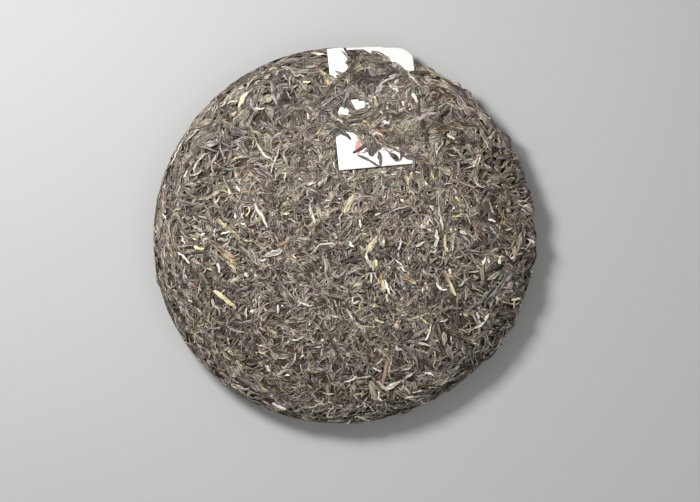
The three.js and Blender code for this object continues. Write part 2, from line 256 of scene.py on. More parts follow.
# The leaves that cover the rest of the ticket, by their uneven edge in its own axes
COVER_EDGE = [(-12, 84), (-16, 68), (-14, 48), (-8, 39), (10, 32), (20, 33), (25, 15), (44, 15),
              (61, 11), (70, 3), (84, -4), (87, 40), (86, 70), (84, 86), (70, 89), (59, 103),
              (46, 110), (28, 111), (26, 119), (14, 119), (16, 94), (8, 90)]
COVER_MIDDLE = (42.0, 60.0)

# Share of the cover's leaves that may reach over a window with one step of their path
STRAY_SHARE = 0.12

# The plain red print, by its middle and half size in the ticket's own axes
PRINT_MIDDLE = (19.2, 19.5)
PRINT_HALF = (3.0, 6.8)


# Orders of corners that turn a face over and keep its first corner
QUAD_OVER = [0, 3, 2, 1]
TRIANGLE_OVER = [0, 2, 1]


def grid_quads(rows, columns, closed=False):
    """Quads between neighbouring points of a grid of rows, from the last column back to the first where
    it is closed."""
    across = np.arange(columns if closed else columns - 1)
    row, column = np.meshgrid(np.arange(rows - 1) * columns, across, indexing="ij")
    after = (column + 1) % columns
    corners = [row + column, row + after, row + columns + after, row + columns + column]
    return np.stack(corners, axis=-1).reshape(-1, 4)


def wall_quads(edge, shift):
    """Quads from a closed edge to the same edge of a layer whose points come that much later."""
    onward = np.roll(edge, -1)
    return np.stack([edge, edge + shift, onward + shift, onward], axis=-1)


def fan(hub, ring):
    """Triangles from one point to each pair of neighbours on a closed ring."""
    return np.stack([np.full(len(ring), hub), ring, np.roll(ring, -1)], axis=-1)


def closed_mesh(name, points, faces, material, uvs=None, marks=None, sharp_from=None):
    """Mesh object from arrays: points in millimetres, blocks of faces with one corner count in each,
    UV maps by name with one pair for each face corner, and point attributes by name."""
    mesh = bpy.data.meshes.new(name)
    corners = np.concatenate([block.ravel() for block in faces])
    sizes = np.concatenate([np.full(len(block), block.shape[1]) for block in faces])
    starts = np.concatenate([[0], np.cumsum(sizes)[:-1]])
    mesh.vertices.add(len(points))
    mesh.vertices.foreach_set("co", (points * MM).astype(np.float32).ravel())
    mesh.loops.add(len(corners))
    mesh.loops.foreach_set("vertex_index", corners.astype(np.int32))
    mesh.polygons.add(len(sizes))
    mesh.polygons.foreach_set("loop_start", starts.astype(np.int32))
    for uv_name, pairs in (uvs or {}).items():
        layer = mesh.uv_layers.new(name=uv_name)
        layer.data.foreach_set("uv", pairs.astype(np.float32).ravel())
    for mark, values in (marks or {}).items():
        attribute = mesh.attributes.new(mark, "FLOAT", "POINT")
        attribute.data.foreach_set("value", values.astype(np.float32).ravel())
    mesh.update(calc_edges=True)
    mesh.validate()
    mesh.shade_smooth()
    if sharp_from:
        mesh.set_sharp_from_angle(angle=sharp_from)
    mesh.materials.append(material)
    piece = bpy.data.objects.new(name, mesh)
    bpy.context.collection.objects.link(piece)
    return piece


def leaf_paths(leaves, steps):
    """Arc, azimuth and lift at even steps along each leaf. The heading turns evenly along the leaf and
    sways by a sine, its sum gives a path in the tangent plane, and the path drops to the body."""
    t = np.linspace(0, 1, steps)
    span = 2 * t - 1
    swing = np.sin(TURN * (t * leaves["waves"][:, None] + leaves["phase"][:, None]))
    heading = (leaves["heading"][:, None] + leaves["turn"][:, None] * (t - 0.5)
               + leaves["sway"][:, None] * swing + leaves["kinks"])
    stride = leaves["length"][:, None] / (steps - 1)
    east = np.cumsum(np.cos(heading) * stride, axis=1)
    inward = np.cumsum(np.sin(heading) * stride, axis=1)
    east -= east.mean(axis=1, keepdims=True)
    inward -= inward.mean(axis=1, keepdims=True)
    start, _, east_way, inward_way = body_frame(leaves["arc"], leaves["azimuth"])
    flat = start[:, None] + east[..., None] * east_way[:, None] + inward[..., None] * inward_way[:, None]
    arc = nearest_arc(flat)
    azimuth = np.arctan2(flat[..., 1], flat[..., 0])
    lift = (leaves["lift"][:, None] + leaves["arch"][:, None] * (1 - span ** 2)
            - leaves["dip"][:, None] * span ** 6 + leaves["tilt"][:, None] * span)
    return t, arc, azimuth, lift


def ticket_step(arc, azimuth, over):
    """Height that a leaf gains over the ticket, or loses where it dives under the ticket's edge."""
    across, along = to_ticket(arc, azimuth)
    gap_across = np.maximum(np.maximum(-across, across - TICKET_WIDTH), 0)
    gap_along = np.maximum(np.maximum(-along, along - TICKET_LENGTH), 0)
    nearness = np.clip(1 - np.hypot(gap_across, gap_along) / EDGE_REACH, 0, 1)
    on_face = arc < FACE_END
    return np.where(over, COVER_RISE, EDGE_DIVE) * nearness * on_face


def in_windows(across, along):
    """Whether places in the ticket's axes lie where the ticket shows."""
    hit = np.zeros(np.shape(across), bool)
    for outline in WINDOWS.values():
        hit |= inside(across, along, outline)
    return hit


def settle_round_ticket(leaves, steps):
    """Keeps the leaves that lie over the covered part of the ticket or outside it, and marks those that
    go over."""
    across, along = to_ticket(leaves["arc"], leaves["azimuth"])
    on_face = leaves["arc"] < FACE_END
    over = inside(across, along, COVER_EDGE) & on_face
    _, arc, azimuth, _ = leaf_paths(leaves, steps)
    bared = in_windows(*to_ticket(arc, azimuth)).sum(axis=1)
    under = (across > 0) & (across < TICKET_WIDTH) & (along > 0) & (along < TICKET_LENGTH) & ~over
    keep = leaves["placed"] | ~on_face | ~((over & (bared > leaves["strays"])) | under)
    leaves["over"] = over | (leaves["placed"] & in_windows(across, along))
    return {key: values[keep] for key, values in leaves.items()}


def strip_faces(count, steps, sides):
    """Quads round and along every strip, and triangles that close both tips, wound outward. A strip's
    points are its rings, one after the other, and then its two tips."""
    quads = grid_quads(steps, sides, closed=True)
    ring_points = steps * sides
    around = np.arange(sides)
    near = fan(ring_points, around)[:, TRIANGLE_OVER]
    far = fan(ring_points + 1, ring_points - sides + around)
    tips = np.vstack([near, far])
    offset = (np.arange(count) * (ring_points + 2))[:, None, None]
    return (quads + offset).reshape(-1, 4), (tips + offset).reshape(-1, 3)


# The way round a leaf in widths, how far its fibres lie from those of the leaf before it, and how much
# of its cell it fills
GIRTH = 3.0
FIBRE_SHIFT = np.array([7.31, 3.17])
CELL_FILL = 0.92


def strip_uvs(leaves, steps, sides):
    """Two maps: fibre, in millimetres along and round each leaf, and OFBake, a cell for each leaf. The
    first tip is at nothing, the rings at one and onward, and the second tip past the last ring."""
    count = len(leaves["arc"])
    ring, side = np.meshgrid(np.arange(steps - 1), np.arange(sides), indexing="ij")
    along = np.stack([ring, ring, ring + 1, ring + 1], axis=-1).reshape(-1, 4) + 1.0
    around = np.stack([side, side + 1, side + 1, side], axis=-1).reshape(-1, 4) * 1.0
    spoke = np.arange(sides)[:, None]
    tip_along = np.repeat([[0.0, 1.0, 1.0], [steps + 1.0, steps, steps]], sides, axis=0)
    tip_around = np.vstack([spoke + [0.5, 1.0, 0.0], spoke + [0.5, 0.0, 1.0]])
    cells = math.ceil(math.sqrt(count))
    index = np.arange(count)
    corner = np.stack([index % cells, index // cells], axis=-1) + (1 - CELL_FILL) / 2
    maps = {"fibre": [], "OFBake": []}
    for u, v in ((along, around), (tip_along, tip_around)):
        share = np.stack([u / (steps + 1), v / sides], axis=-1).reshape(1, -1, 2)
        size = np.stack([leaves["length"], GIRTH * leaves["width"]], axis=-1)[:, None]
        start = index[:, None, None] * FIBRE_SHIFT
        maps["fibre"].append((share * size + start).reshape(-1, 2))
        maps["OFBake"].append(((share * CELL_FILL + corner[:, None]) / cells).reshape(-1, 2))
    return {key: np.vstack(blocks) for key, blocks in maps.items()}


# The power that rounds a leaf's taper, how far its tips reach as a share of its thickness, and how
# much of a ridge they are, which sets the painted highlight on them
TAPER_ROUNDING = 0.6
TIP_REACH = 0.15
TIP_RIDGE = 0.8


def strip_section(leaves, t, lift, sides):
    """Offsets of the section's corners, beside and above the path: a creased oval, width times cosine
    and thickness times sine, turned by the twist, tapered to both ends, and flattened by the press."""
    skewed = t[None] ** leaves["skew"][:, None]
    taper = np.clip(1 - np.abs(2 * skewed - 1) ** leaves["blunt"][:, None], 0, 1) ** TAPER_ROUNDING
    angle = np.arange(sides) / sides * TURN
    ends = leaves["ends"][:, None]
    half = leaves["width"][:, None] / 2 * (ends + (1 - ends) * taper) * leaves["lumps"]
    half = half[..., None] * leaves["crease"][:, None, :]
    x = half * np.cos(angle)
    y = half * leaves["flatness"][:, None, None] * np.sin(angle)
    roll = (leaves["roll"][:, None] + leaves["twist"][:, None] * (t - 0.5))[..., None]
    x, y = x * np.cos(roll) - y * np.sin(roll), x * np.sin(roll) + y * np.cos(roll)
    above = np.maximum(lift[..., None] + y - leaves["level"][:, None, None], 0)
    return x, y - (1 - PRESS_KEEPS) * above


def leaf_strips(name, leaves, material, steps, sides):
    """Closed strips: the section of strip_section swept along each leaf's path."""
    leaves = settle_round_ticket(leaves, steps)
    count = len(leaves["arc"])
    t, arc, azimuth, lift = leaf_paths(leaves, steps)
    x, y = strip_section(leaves, t, lift, sides)
    lift = lift + ticket_step(arc, azimuth, leaves["over"][:, None])
    on, out, _, _ = body_frame(arc, azimuth)
    spine = on + lift[..., None] * out
    forward = np.gradient(spine, axis=1)
    forward /= np.linalg.norm(forward, axis=-1, keepdims=True)
    beside = np.cross(out, forward)
    beside /= np.linalg.norm(beside, axis=-1, keepdims=True)
    raised = np.cross(forward, beside)
    rings = spine[:, :, None] + x[..., None] * beside[:, :, None] + y[..., None] * raised[:, :, None]
    reach = (TIP_REACH * leaves["width"] * leaves["flatness"])[:, None]
    tips = np.stack([rings[:, 0].mean(axis=1) - forward[:, 0] * reach,
                     rings[:, -1].mean(axis=1) + forward[:, -1] * reach], axis=1)
    points = np.concatenate([rings.reshape(count, -1, 3), tips], axis=1)
    points[..., 2] = np.maximum(points[..., 2], leaves["floor"][:, None])
    ridges = np.broadcast_to(leaves["crease"][:, None, :], (count, steps, sides)).reshape(count, -1)
    marks = {
        "tone": np.repeat(leaves["tone"], points.shape[1]),
        "hue": np.repeat(leaves["hue"], points.shape[1]),
        # shade carries each leaf's tone and the painted light and shade of its place
        "shade": np.repeat(leaves["shade"], points.shape[1]),
        # ridge sets the painted highlight on ridges and the painted shade in creases
        "ridge": np.concatenate([ridges, np.full((count, 2), TIP_RIDGE)], axis=1),
    }
    quads, tip_faces = strip_faces(count, steps, sides)
    return closed_mesh(name, unevenly(points).reshape(-1, 3), [quads, tip_faces], material,
                       strip_uvs(leaves, steps, sides), marks, CREASE_ANGLE)


def spread(count, low_arc, high_arc, thinning, jitter=4.0):
    """Places by the golden angle round the axis and even steps of area along the arc, closer together
    in the fine middle of the face and thinned out where the leaves are larger."""
    low, high = np.interp([low_arc, high_arc], ARCS, PLACES)
    share = (np.arange(count) + RNG.random(count)) / count
    arc = np.interp(low + (high - low) * share, PLACES, ARCS) + RNG.normal(0, jitter, count)
    azimuth = (np.arange(count) * GOLDEN_ANGLE + RNG.uniform(0, TURN)
               + RNG.normal(0, jitter, count) / np.maximum(np.interp(arc, ARCS, RADII), 8))
    arc, azimuth = np.clip(arc, 0, ARCS[-1]), azimuth % TURN
    kept = RNG.random(count) < coarseness(arc, azimuth) ** -thinning
    return arc[kept], azimuth[kept]


def cover_places(count):
    """Places over the covered part of the ticket: even draws in its box, kept where they lie inside it."""
    edge = np.array(COVER_EDGE, float)
    across, along = RNG.uniform(edge.min(axis=0), edge.max(axis=0), (2 * count, 2)).T
    held = inside(across, along, COVER_EDGE) & ~in_windows(across, along)
    return from_ticket(across[held][:count], along[held][:count])


def frayed(azimuth):
    """One on the frayed stretch of the side, falling to nothing past its ends."""
    off = np.abs((azimuth - FRAY_MIDDLE + math.pi) % TURN - math.pi)
    return np.clip((FRAY_HALF - off) / FRAY_FADE, 0, 1)


def outer_share(arc):
    """Nothing in the fine, flatly pressed middle of the face, and one in the coarser ring round it."""
    return np.interp(arc, FINE_MIDDLE, (0, 1)) * (arc < RESTING_ARC)


def northward(arc, azimuth):
    """How far a place lies to the far side, as a share of the way there: below nothing on the near side."""
    return arc * np.sin(azimuth) / WIDEST_ARC


def eastward(azimuth):
    """How far a direction points to the right: one straight to the right, nothing on the left."""
    return np.clip(np.cos(azimuth), 0, 1)


# Leaf size as a share of the common size: in the fine middle, what the ring round it, the far side,
# the right of the ring and the ticket's cover add, and the size past the face
SIZE_IN_MIDDLE = 0.7
SIZE_OF_RING = 0.28
SIZE_TO_FAR = 0.85
SIZE_TO_RIGHT = 0.32
SIZE_BY_COVER = 0.7
SIZE_PAST_FACE = 1.1

# Distances from the cover's middle where its larger leaves grow fewer and where they end
COVER_FADE = (31.5, 76.5)


def coarseness(arc, azimuth):
    """Leaf size as a share of the common size: fine in the middle, coarser round it, to the far side and
    to the right, and coarsest round the ticket's cover."""
    outer = outer_share(arc)
    north = np.clip(northward(arc, azimuth), 0, 1)
    across, along = to_ticket(arc, azimuth)
    from_cover = np.hypot(across - COVER_MIDDLE[0], along - COVER_MIDDLE[1])
    near_cover = np.interp(from_cover, COVER_FADE, (1, 0))
    size = (SIZE_IN_MIDDLE + SIZE_OF_RING * outer + SIZE_TO_FAR * north
            + SIZE_TO_RIGHT * eastward(azimuth) * outer + SIZE_BY_COVER * near_cover)
    return np.where(arc > FACE_END, SIZE_PAST_FACE, size)


def waves_at(arc, azimuth, waves):
    """Mean of a few sines of the place as seen from above, for each leaf, of about unit spread."""
    radius = np.interp(arc, ARCS, RADII)
    x, y = radius * np.cos(azimuth), radius * np.sin(azimuth)
    lengths, ways, phases = waves
    distance = np.outer(x, np.cos(ways)) + np.outer(y, np.sin(ways))
    return np.sin(TURN * distance / lengths + phases).sum(axis=1) / math.sqrt(len(lengths) / 2)


def flow_heading(arc, azimuth):
    """Heading with the slow flow of the face: waves give its direction, and the place's azimuth turns
    that into an angle from the way round the axis."""
    direction = FLOW_SWING * waves_at(arc, azimuth, FLOW_WAVES)
    return (direction - azimuth - math.pi / 2) * np.where(arc < WIDEST_ARC, 1, -1)


# The band by the side where leaves run along the edge: how far it reaches onto the face, how much
# farther on the left, how far it fades, how many leaves follow it, and how far they stray from it
EDGE_BAND = 26.0
BAND_WIDER_LEFT = 14.0
BAND_FADE = 16.0
BAND_SHARE = 0.85
BAND_SPREAD = 0.3


def leaf_headings(arc, azimuth, rough):
    """Most leaves follow the flow, some lie at random, and those by the side run along the edge."""
    count = len(arc)
    flowing = flow_heading(arc, azimuth) + RNG.normal(0, FLOW_SPREAD, count)
    heading = np.where(RNG.random(count) < FLOW_SHARE, flowing, RNG.uniform(0, math.pi, count))
    left = np.clip(0.3 - np.cos(azimuth) * 2, 0, 1)
    band_start = WIDEST_ARC - EDGE_BAND - BAND_WIDER_LEFT * left
    band_end = RESTING_ARC + 6
    in_band = np.clip((arc - band_start) / BAND_FADE, 0, 1) * np.clip((band_end - arc) / BAND_FADE, 0, 1)
    calm = RNG.random(count) < BAND_SHARE * in_band * (1 - rough)
    return np.where(calm, RNG.normal(0, BAND_SPREAD, count), heading)


def mostly_small(low, high, count):
    """Sizes between two ends, with more of them near the lower one."""
    return low + (high - low) * RNG.random(count) ** 1.5


# How light a leaf is by its place: the common share, what the middle of the face adds, what the far side
# takes, the painted shade that the near side takes, how much of the far side's darkening the right gives
# back as painted light, and the painted light that the side and its far right add
SHADE_COMMON = 0.98
SHADE_IN_MIDDLE = 0.12
SHADE_TO_FAR = 0.15
# Painted shade to the near side
PAINTED_SHADE_TO_NEAR = 0.1
# Painted light: how much of the far side's darkening the right gives back
PAINTED_LIGHT_FAR_RIGHT = 3.6
# Painted light on the side, and more at its far right
PAINTED_LIGHT_ON_SIDE = 0.06
PAINTED_LIGHT_AT_FAR_RIGHT = 0.5

# How far the patches and the broad waves move the shade, and the least and most that it may be
SHADE_PATCHES = 0.07
SHADE_WAVES = 0.03
SHADE_ENDS = (0.4, 2)


def middle_shade(arc):
    """What the fine middle of the face adds to a leaf's lightness."""
    return SHADE_IN_MIDDLE * (1 - outer_share(arc)) * (arc < WIDEST_ARC)


def place_tone_and_painted_light(arc, azimuth, by_side):
    """Lightness of the leaves at a place: lighter in the middle, darker to the far side, painted shade to
    the near side, and painted light on the right of the far side, on the side and most of all at its far
    right, with two sets of waves."""
    in_front = arc < RESTING_ARC
    north = np.clip(northward(arc, azimuth), 0, 1) * in_front
    south = np.clip(-northward(arc, azimuth), 0, 1) * in_front
    # On the right of the far side this turns into painted light
    far = SHADE_TO_FAR * north * (1 - PAINTED_LIGHT_FAR_RIGHT * eastward(azimuth))
    # Painted light on the side, most of all at its far right
    side = (PAINTED_LIGHT_ON_SIDE + PAINTED_LIGHT_AT_FAR_RIGHT * north * eastward(azimuth)) * by_side
    waves = (SHADE_PATCHES * waves_at(arc, azimuth, PATCH_WAVES)
             + SHADE_WAVES * waves_at(arc, azimuth, BROAD_WAVES))
    # The near side's term is painted shade
    return SHADE_COMMON + middle_shade(arc) - far - PAINTED_SHADE_TO_NEAR * south + side + waves


# Common tone, and how far tone and hue drift in patches and from leaf to leaf
TONE = {"common": 0.36, "patches": 0.08, "spread": 0.18}
HUE = {"in_middle": -0.3, "waves": 0.11, "spread": 0.17}

# Contrast between leaves as a share of their kind's: in the middle, and what the ring and its right add
CONTRAST = {"in_middle": 0.8, "of_ring": 0.2, "to_right": 0.3}


def draw_looks(kind, arc, azimuth, by_side):
    """Seeded tone, hue and shade: what holds for the place, and what each leaf strays from it."""
    count = len(arc)
    ring = outer_share(arc)
    tone = TONE["common"] + TONE["patches"] * waves_at(arc, azimuth, PATCH_WAVES)
    hue = HUE["in_middle"] * middle_shade(arc) + HUE["waves"] * waves_at(arc, azimuth, HUE_WAVES)
    contrast = CONTRAST["in_middle"] + (CONTRAST["of_ring"] + CONTRAST["to_right"] * eastward(azimuth)) * ring
    shade = place_tone_and_painted_light(arc, azimuth, by_side)
    return {
        "tone": np.clip(tone + RNG.normal(0, TONE["spread"], count), 0, 1),
        "hue": kind["hue"] + hue + RNG.normal(0, HUE["spread"], count),
        "shade": np.clip(shade + kind["contrast"] * contrast * RNG.normal(0, 1, count), *SHADE_ENDS),
    }


# What a leaf's lift and the level of its press gain on the side, outside the middle of the face and
# on the frayed stretch, where its tilt varies as well, more for some leaves than for others
SIDE_GAINS = {"lift": 0.6, "level": 0.6}
OUTER_GAINS = {"lift": (-0.25, 0.5), "level": 0.6}
FRAYED_GAINS = {"lift": (0, 1.8), "level": 3.5, "tilt": 1.6, "tilt_factor": (0.3, 2.4)}


def draw_leaves(kind, arc, azimuth):
    """Seeded sizes and bends for leaves at the given places, from the ranges of their kind. Leaves on
    the side, outside the middle and on the frayed stretch are lifted more and pressed less."""
    count = len(arc)
    size = coarseness(arc, azimuth)
    fraying = np.clip((arc - (WIDEST_ARC - FRAY_REACH)) / FRAY_GROWTH, 0, 1)
    rough = frayed(azimuth) * fraying * (arc < RESTING_ARC)
    by_side = np.clip((arc - (WIDEST_ARC - EDGE_BAND)) / BAND_FADE, 0, 1) * (arc < RESTING_ARC - 6)
    ring = outer_share(arc)
    outer = ring + inside(*to_ticket(arc, azimuth), COVER_EDGE)
    rightward = eastward(azimuth) * ring
    level_gain = SIDE_GAINS["level"] * by_side + OUTER_GAINS["level"] * outer + FRAYED_GAINS["level"] * rough
    return {
        "arc": arc,
        "azimuth": azimuth,
        "heading": leaf_headings(arc, azimuth, rough),
        "length": mostly_small(*kind["length"], count) * size,
        "width": mostly_small(*kind["width"], count) * (0.25 + 0.75 * size),
        "flatness": RNG.uniform(*kind["flatness"], count),
        "turn": RNG.normal(0, kind["turn"], count),
        "sway": RNG.normal(0, kind["sway"], count),
        "waves": RNG.uniform(*kind["waves"], count),
        "phase": RNG.random(count),
        "lift": (RNG.uniform(*kind["lift"], count) + SIDE_GAINS["lift"] * by_side
                 + (outer + rightward) * RNG.uniform(*OUTER_GAINS["lift"], count)
                 + rough * RNG.uniform(*FRAYED_GAINS["lift"], count)),
        "kinks": RNG.normal(0, kind["kinks"], (count, kind["steps"])),
        "lumps": RNG.uniform(*kind["lumps"], (count, kind["steps"])),
        "level": RNG.uniform(*kind["level"], count) + level_gain,
        "arch": RNG.uniform(0, kind["arch"], count),
        "dip": RNG.uniform(*kind["dip"], count),
        "tilt": (RNG.normal(0, kind["tilt"], count)
                 + rough * RNG.normal(0, FRAYED_GAINS["tilt"], count)
                 * RNG.uniform(*FRAYED_GAINS["tilt_factor"], count)),
        "skew": RNG.uniform(*kind["skew"], count),
        "blunt": RNG.uniform(*kind["blunt"], count),
        "ends": RNG.uniform(0.35 * kind["ends"], kind["ends"], count),
        "twist": RNG.normal(0, kind["twist"], count),
        "roll": RNG.normal(0, kind["roll"], count),
        "crease": RNG.uniform(kind["crease"], 1.0, (count, kind["sides"])),
        **draw_looks(kind, arc, azimuth, by_side),
        "floor": RNG.uniform(*kind["floor"], count),
        "strays": (RNG.random(count) < STRAY_SHARE) * 1,
        "placed": np.zeros(count, bool),
    }


# Loose leaves: the arcs that they span from the widest one, their length as a share of the drawn one,
# and what is added to their lift and level or stands in for their arch and tilt
LOOSE = {"arcs": (-9, 12), "length": 0.8, "lift": (0.4, 1.6), "arch": 3.2, "tilt": 2.0, "level": 6}


def loose_leaves(kind):
    """Leaves that stand out of the frayed rim, with an end or their middle in the air."""
    count = kind["loose"]
    azimuth = FRAY_MIDDLE + RNG.normal(0, 0.5 * FRAY_HALF, count)
    leaves = draw_leaves(kind, WIDEST_ARC + RNG.uniform(*LOOSE["arcs"], count), azimuth)
    leaves["length"] *= LOOSE["length"]
    leaves["lift"] += RNG.uniform(*LOOSE["lift"], count)
    leaves["arch"] = RNG.uniform(0, LOOSE["arch"], count)
    leaves["tilt"] = RNG.normal(0, LOOSE["tilt"], count)
    leaves["level"] += LOOSE["level"]
    return leaves


# Leaves set one by one: their width as a share of the seen one, as tapered ends and a tilted section hide
# some of it, how far they stand above the others, and what holds for all of them
PLACED_WIDTH = 1.4
PLACED_RISE = 1.4
PLACED = {"sway": 0.12, "dip": 0.4, "tilt": 0.0, "shade": 1.0}

# The least upward share of the body's outward direction by which a seen length is drawn out
STEEPEST = 0.45


def place_leaves(kind, entries):
    """Leaves set one by one from one end to the other, in pixels of the photograph, with width, turn and
    tone. A leaf that turns is longer than the line between its ends, by about turn^2 / 24 of it."""
    table = np.array([entry[1:] for entry in entries], float)
    x1, y1, x2, y2, width, turn, tone = table.T
    arc, azimuth = from_photo((x1 + x2) / 2, (y1 + y2) / 2)
    leaves = draw_leaves(kind, arc, azimuth)
    east, north = (x2 - x1) * PIXEL, (y1 - y2) * PIXEL
    round_axis = -east * np.sin(azimuth) + north * np.cos(azimuth)
    inward = -east * np.cos(azimuth) - north * np.sin(azimuth)
    inward = inward / np.maximum(np.interp(arc, ARCS, OUT_UP), STEEPEST)
    bow = np.clip(1 - turn ** 2 / 24, 0.5, 1)
    leaves["heading"] = np.arctan2(inward, round_axis)
    leaves["length"] = np.hypot(inward, round_axis) / bow
    leaves["width"] = PLACED_WIDTH * width * PIXEL
    leaves["turn"] = turn
    leaves["tone"] = tone
    leaves["lift"] += PLACED_RISE
    leaves["level"] += PLACED_RISE
    for key, value in {**PLACED, "hue": kind["hue"], "placed": True}.items():
        leaves[key] = np.full(len(arc), value)
    return leaves


def joined(*groups):
    """The same arrays of several groups of leaves, end to end."""
    return {key: np.concatenate([group[key] for group in groups]) for key in groups[0]}


# Arcs between which the leaves of the face, the side and the back lie
FACE_SPAN = (0.0, WIDEST_ARC - 18)
SIDE_SPAN = (WIDEST_ARC - 24, RESTING_ARC + 4)
BACK_SPAN = (RESTING_ARC - 4, ARCS[-1] - 6)

# Kinds of leaf. Counts are for the face, the side, the back and the cover of the ticket, loose ones
# stand out of the rim, and thinning says how much fewer they are where leaves are large. Lengths,
# widths and heights are in millimetres. Turn, sway, kinks, twist and roll are angles in radians.
# Blunt and ends shape the tips, and crease is the least share that a corner keeps of the section.
COMMON = {"flatness": (0.3, 0.5), "turn": 0.6, "sway": 0.22, "waves": (0.7, 1.6), "kinks": 0.15,
          "lumps": (0.6, 1.15), "arch": 0.3, "dip": (0.2, 1.4), "tilt": 0.35, "skew": (0.75, 1.3),
          "blunt": (2.4, 5.0), "twist": 1.0, "roll": 0.35, "crease": 0.45, "ends": 0.6, "sides": 5,
          "steps": 6, "contrast": 0.19, "hue": 0.49, "lift": (-0.5, 0.5), "level": (0.1, 0.75),
          "floor": (0.02, 0.7), "thinning": 1.5, "loose": 0}
THIN = {**COMMON, "sides": 4, "steps": 7, "kinks": 0.2}
KINDS = {
    "dark_rolled_leaves": {
        **COMMON, "counts": (1350, 850, 520, 130), "length": (9, 30), "width": (2.8, 6.6),
        "lift": (-0.6, 0.4), "loose": 26},
    "brown_rolled_leaves": {
        **COMMON, "counts": (1350, 850, 500, 90), "length": (8, 28), "width": (2.5, 6.0), "loose": 26},
    "grey_rolled_leaves": {
        **COMMON, "counts": (1100, 680, 420, 90), "length": (8, 29), "width": (2.5, 6.0), "loose": 20},
    "olive_rolled_leaves": {
        **COMMON, "counts": (800, 440, 220, 40), "length": (8, 26), "width": (2.4, 5.4)},
    "fine_curled_strands": {
        **THIN, "counts": (1150, 700, 400, 50), "length": (6, 20), "width": (0.8, 1.9), "lift": (0.0, 0.8),
        "turn": 0.7, "sway": 0.3, "contrast": 0.26, "loose": 44},
    "downy_buds": {
        **THIN, "counts": (380, 160, 130, 10), "length": (4, 13), "width": (1.5, 3.8), "lift": (0.1, 0.8),
        "turn": 0.7, "sway": 0.3, "blunt": (2.2, 4.6), "ends": 0.65, "contrast": 0.16, "hue": 0.56,
        "loose": 12},
    "golden_stalks": {
        **THIN, "counts": (130, 60, 40, 3), "length": (4, 13), "width": (1.5, 3.4), "lift": (0.0, 0.7),
        "turn": 0.3, "blunt": (4, 9), "ends": 0.95, "twist": 0.8, "crease": 0.6, "kinks": 0.16,
        "hue": 0.56},
    "rust_leaves": {
        **COMMON, "counts": (170, 50, 40, 8), "length": (4, 14), "width": (1.6, 4.0), "lift": (-0.1, 0.6)},
    "broad_leaf_flakes": {
        **COMMON, "counts": (420, 160, 110, 16), "length": (7, 19), "width": (3.6, 7.6),
        "flatness": (0.12, 0.22), "twist": 0.4, "lift": (-0.1, 0.5), "turn": 0.3, "crease": 0.7},
    "leaf_crumbs": {
        **THIN, "counts": (3900, 1300, 800, 90), "length": (1.4, 5.0), "width": (0.8, 2.2),
        "lift": (0.0, 0.9), "steps": 3, "turn": 0.3, "contrast": 0.34, "thinning": 2.6},
}

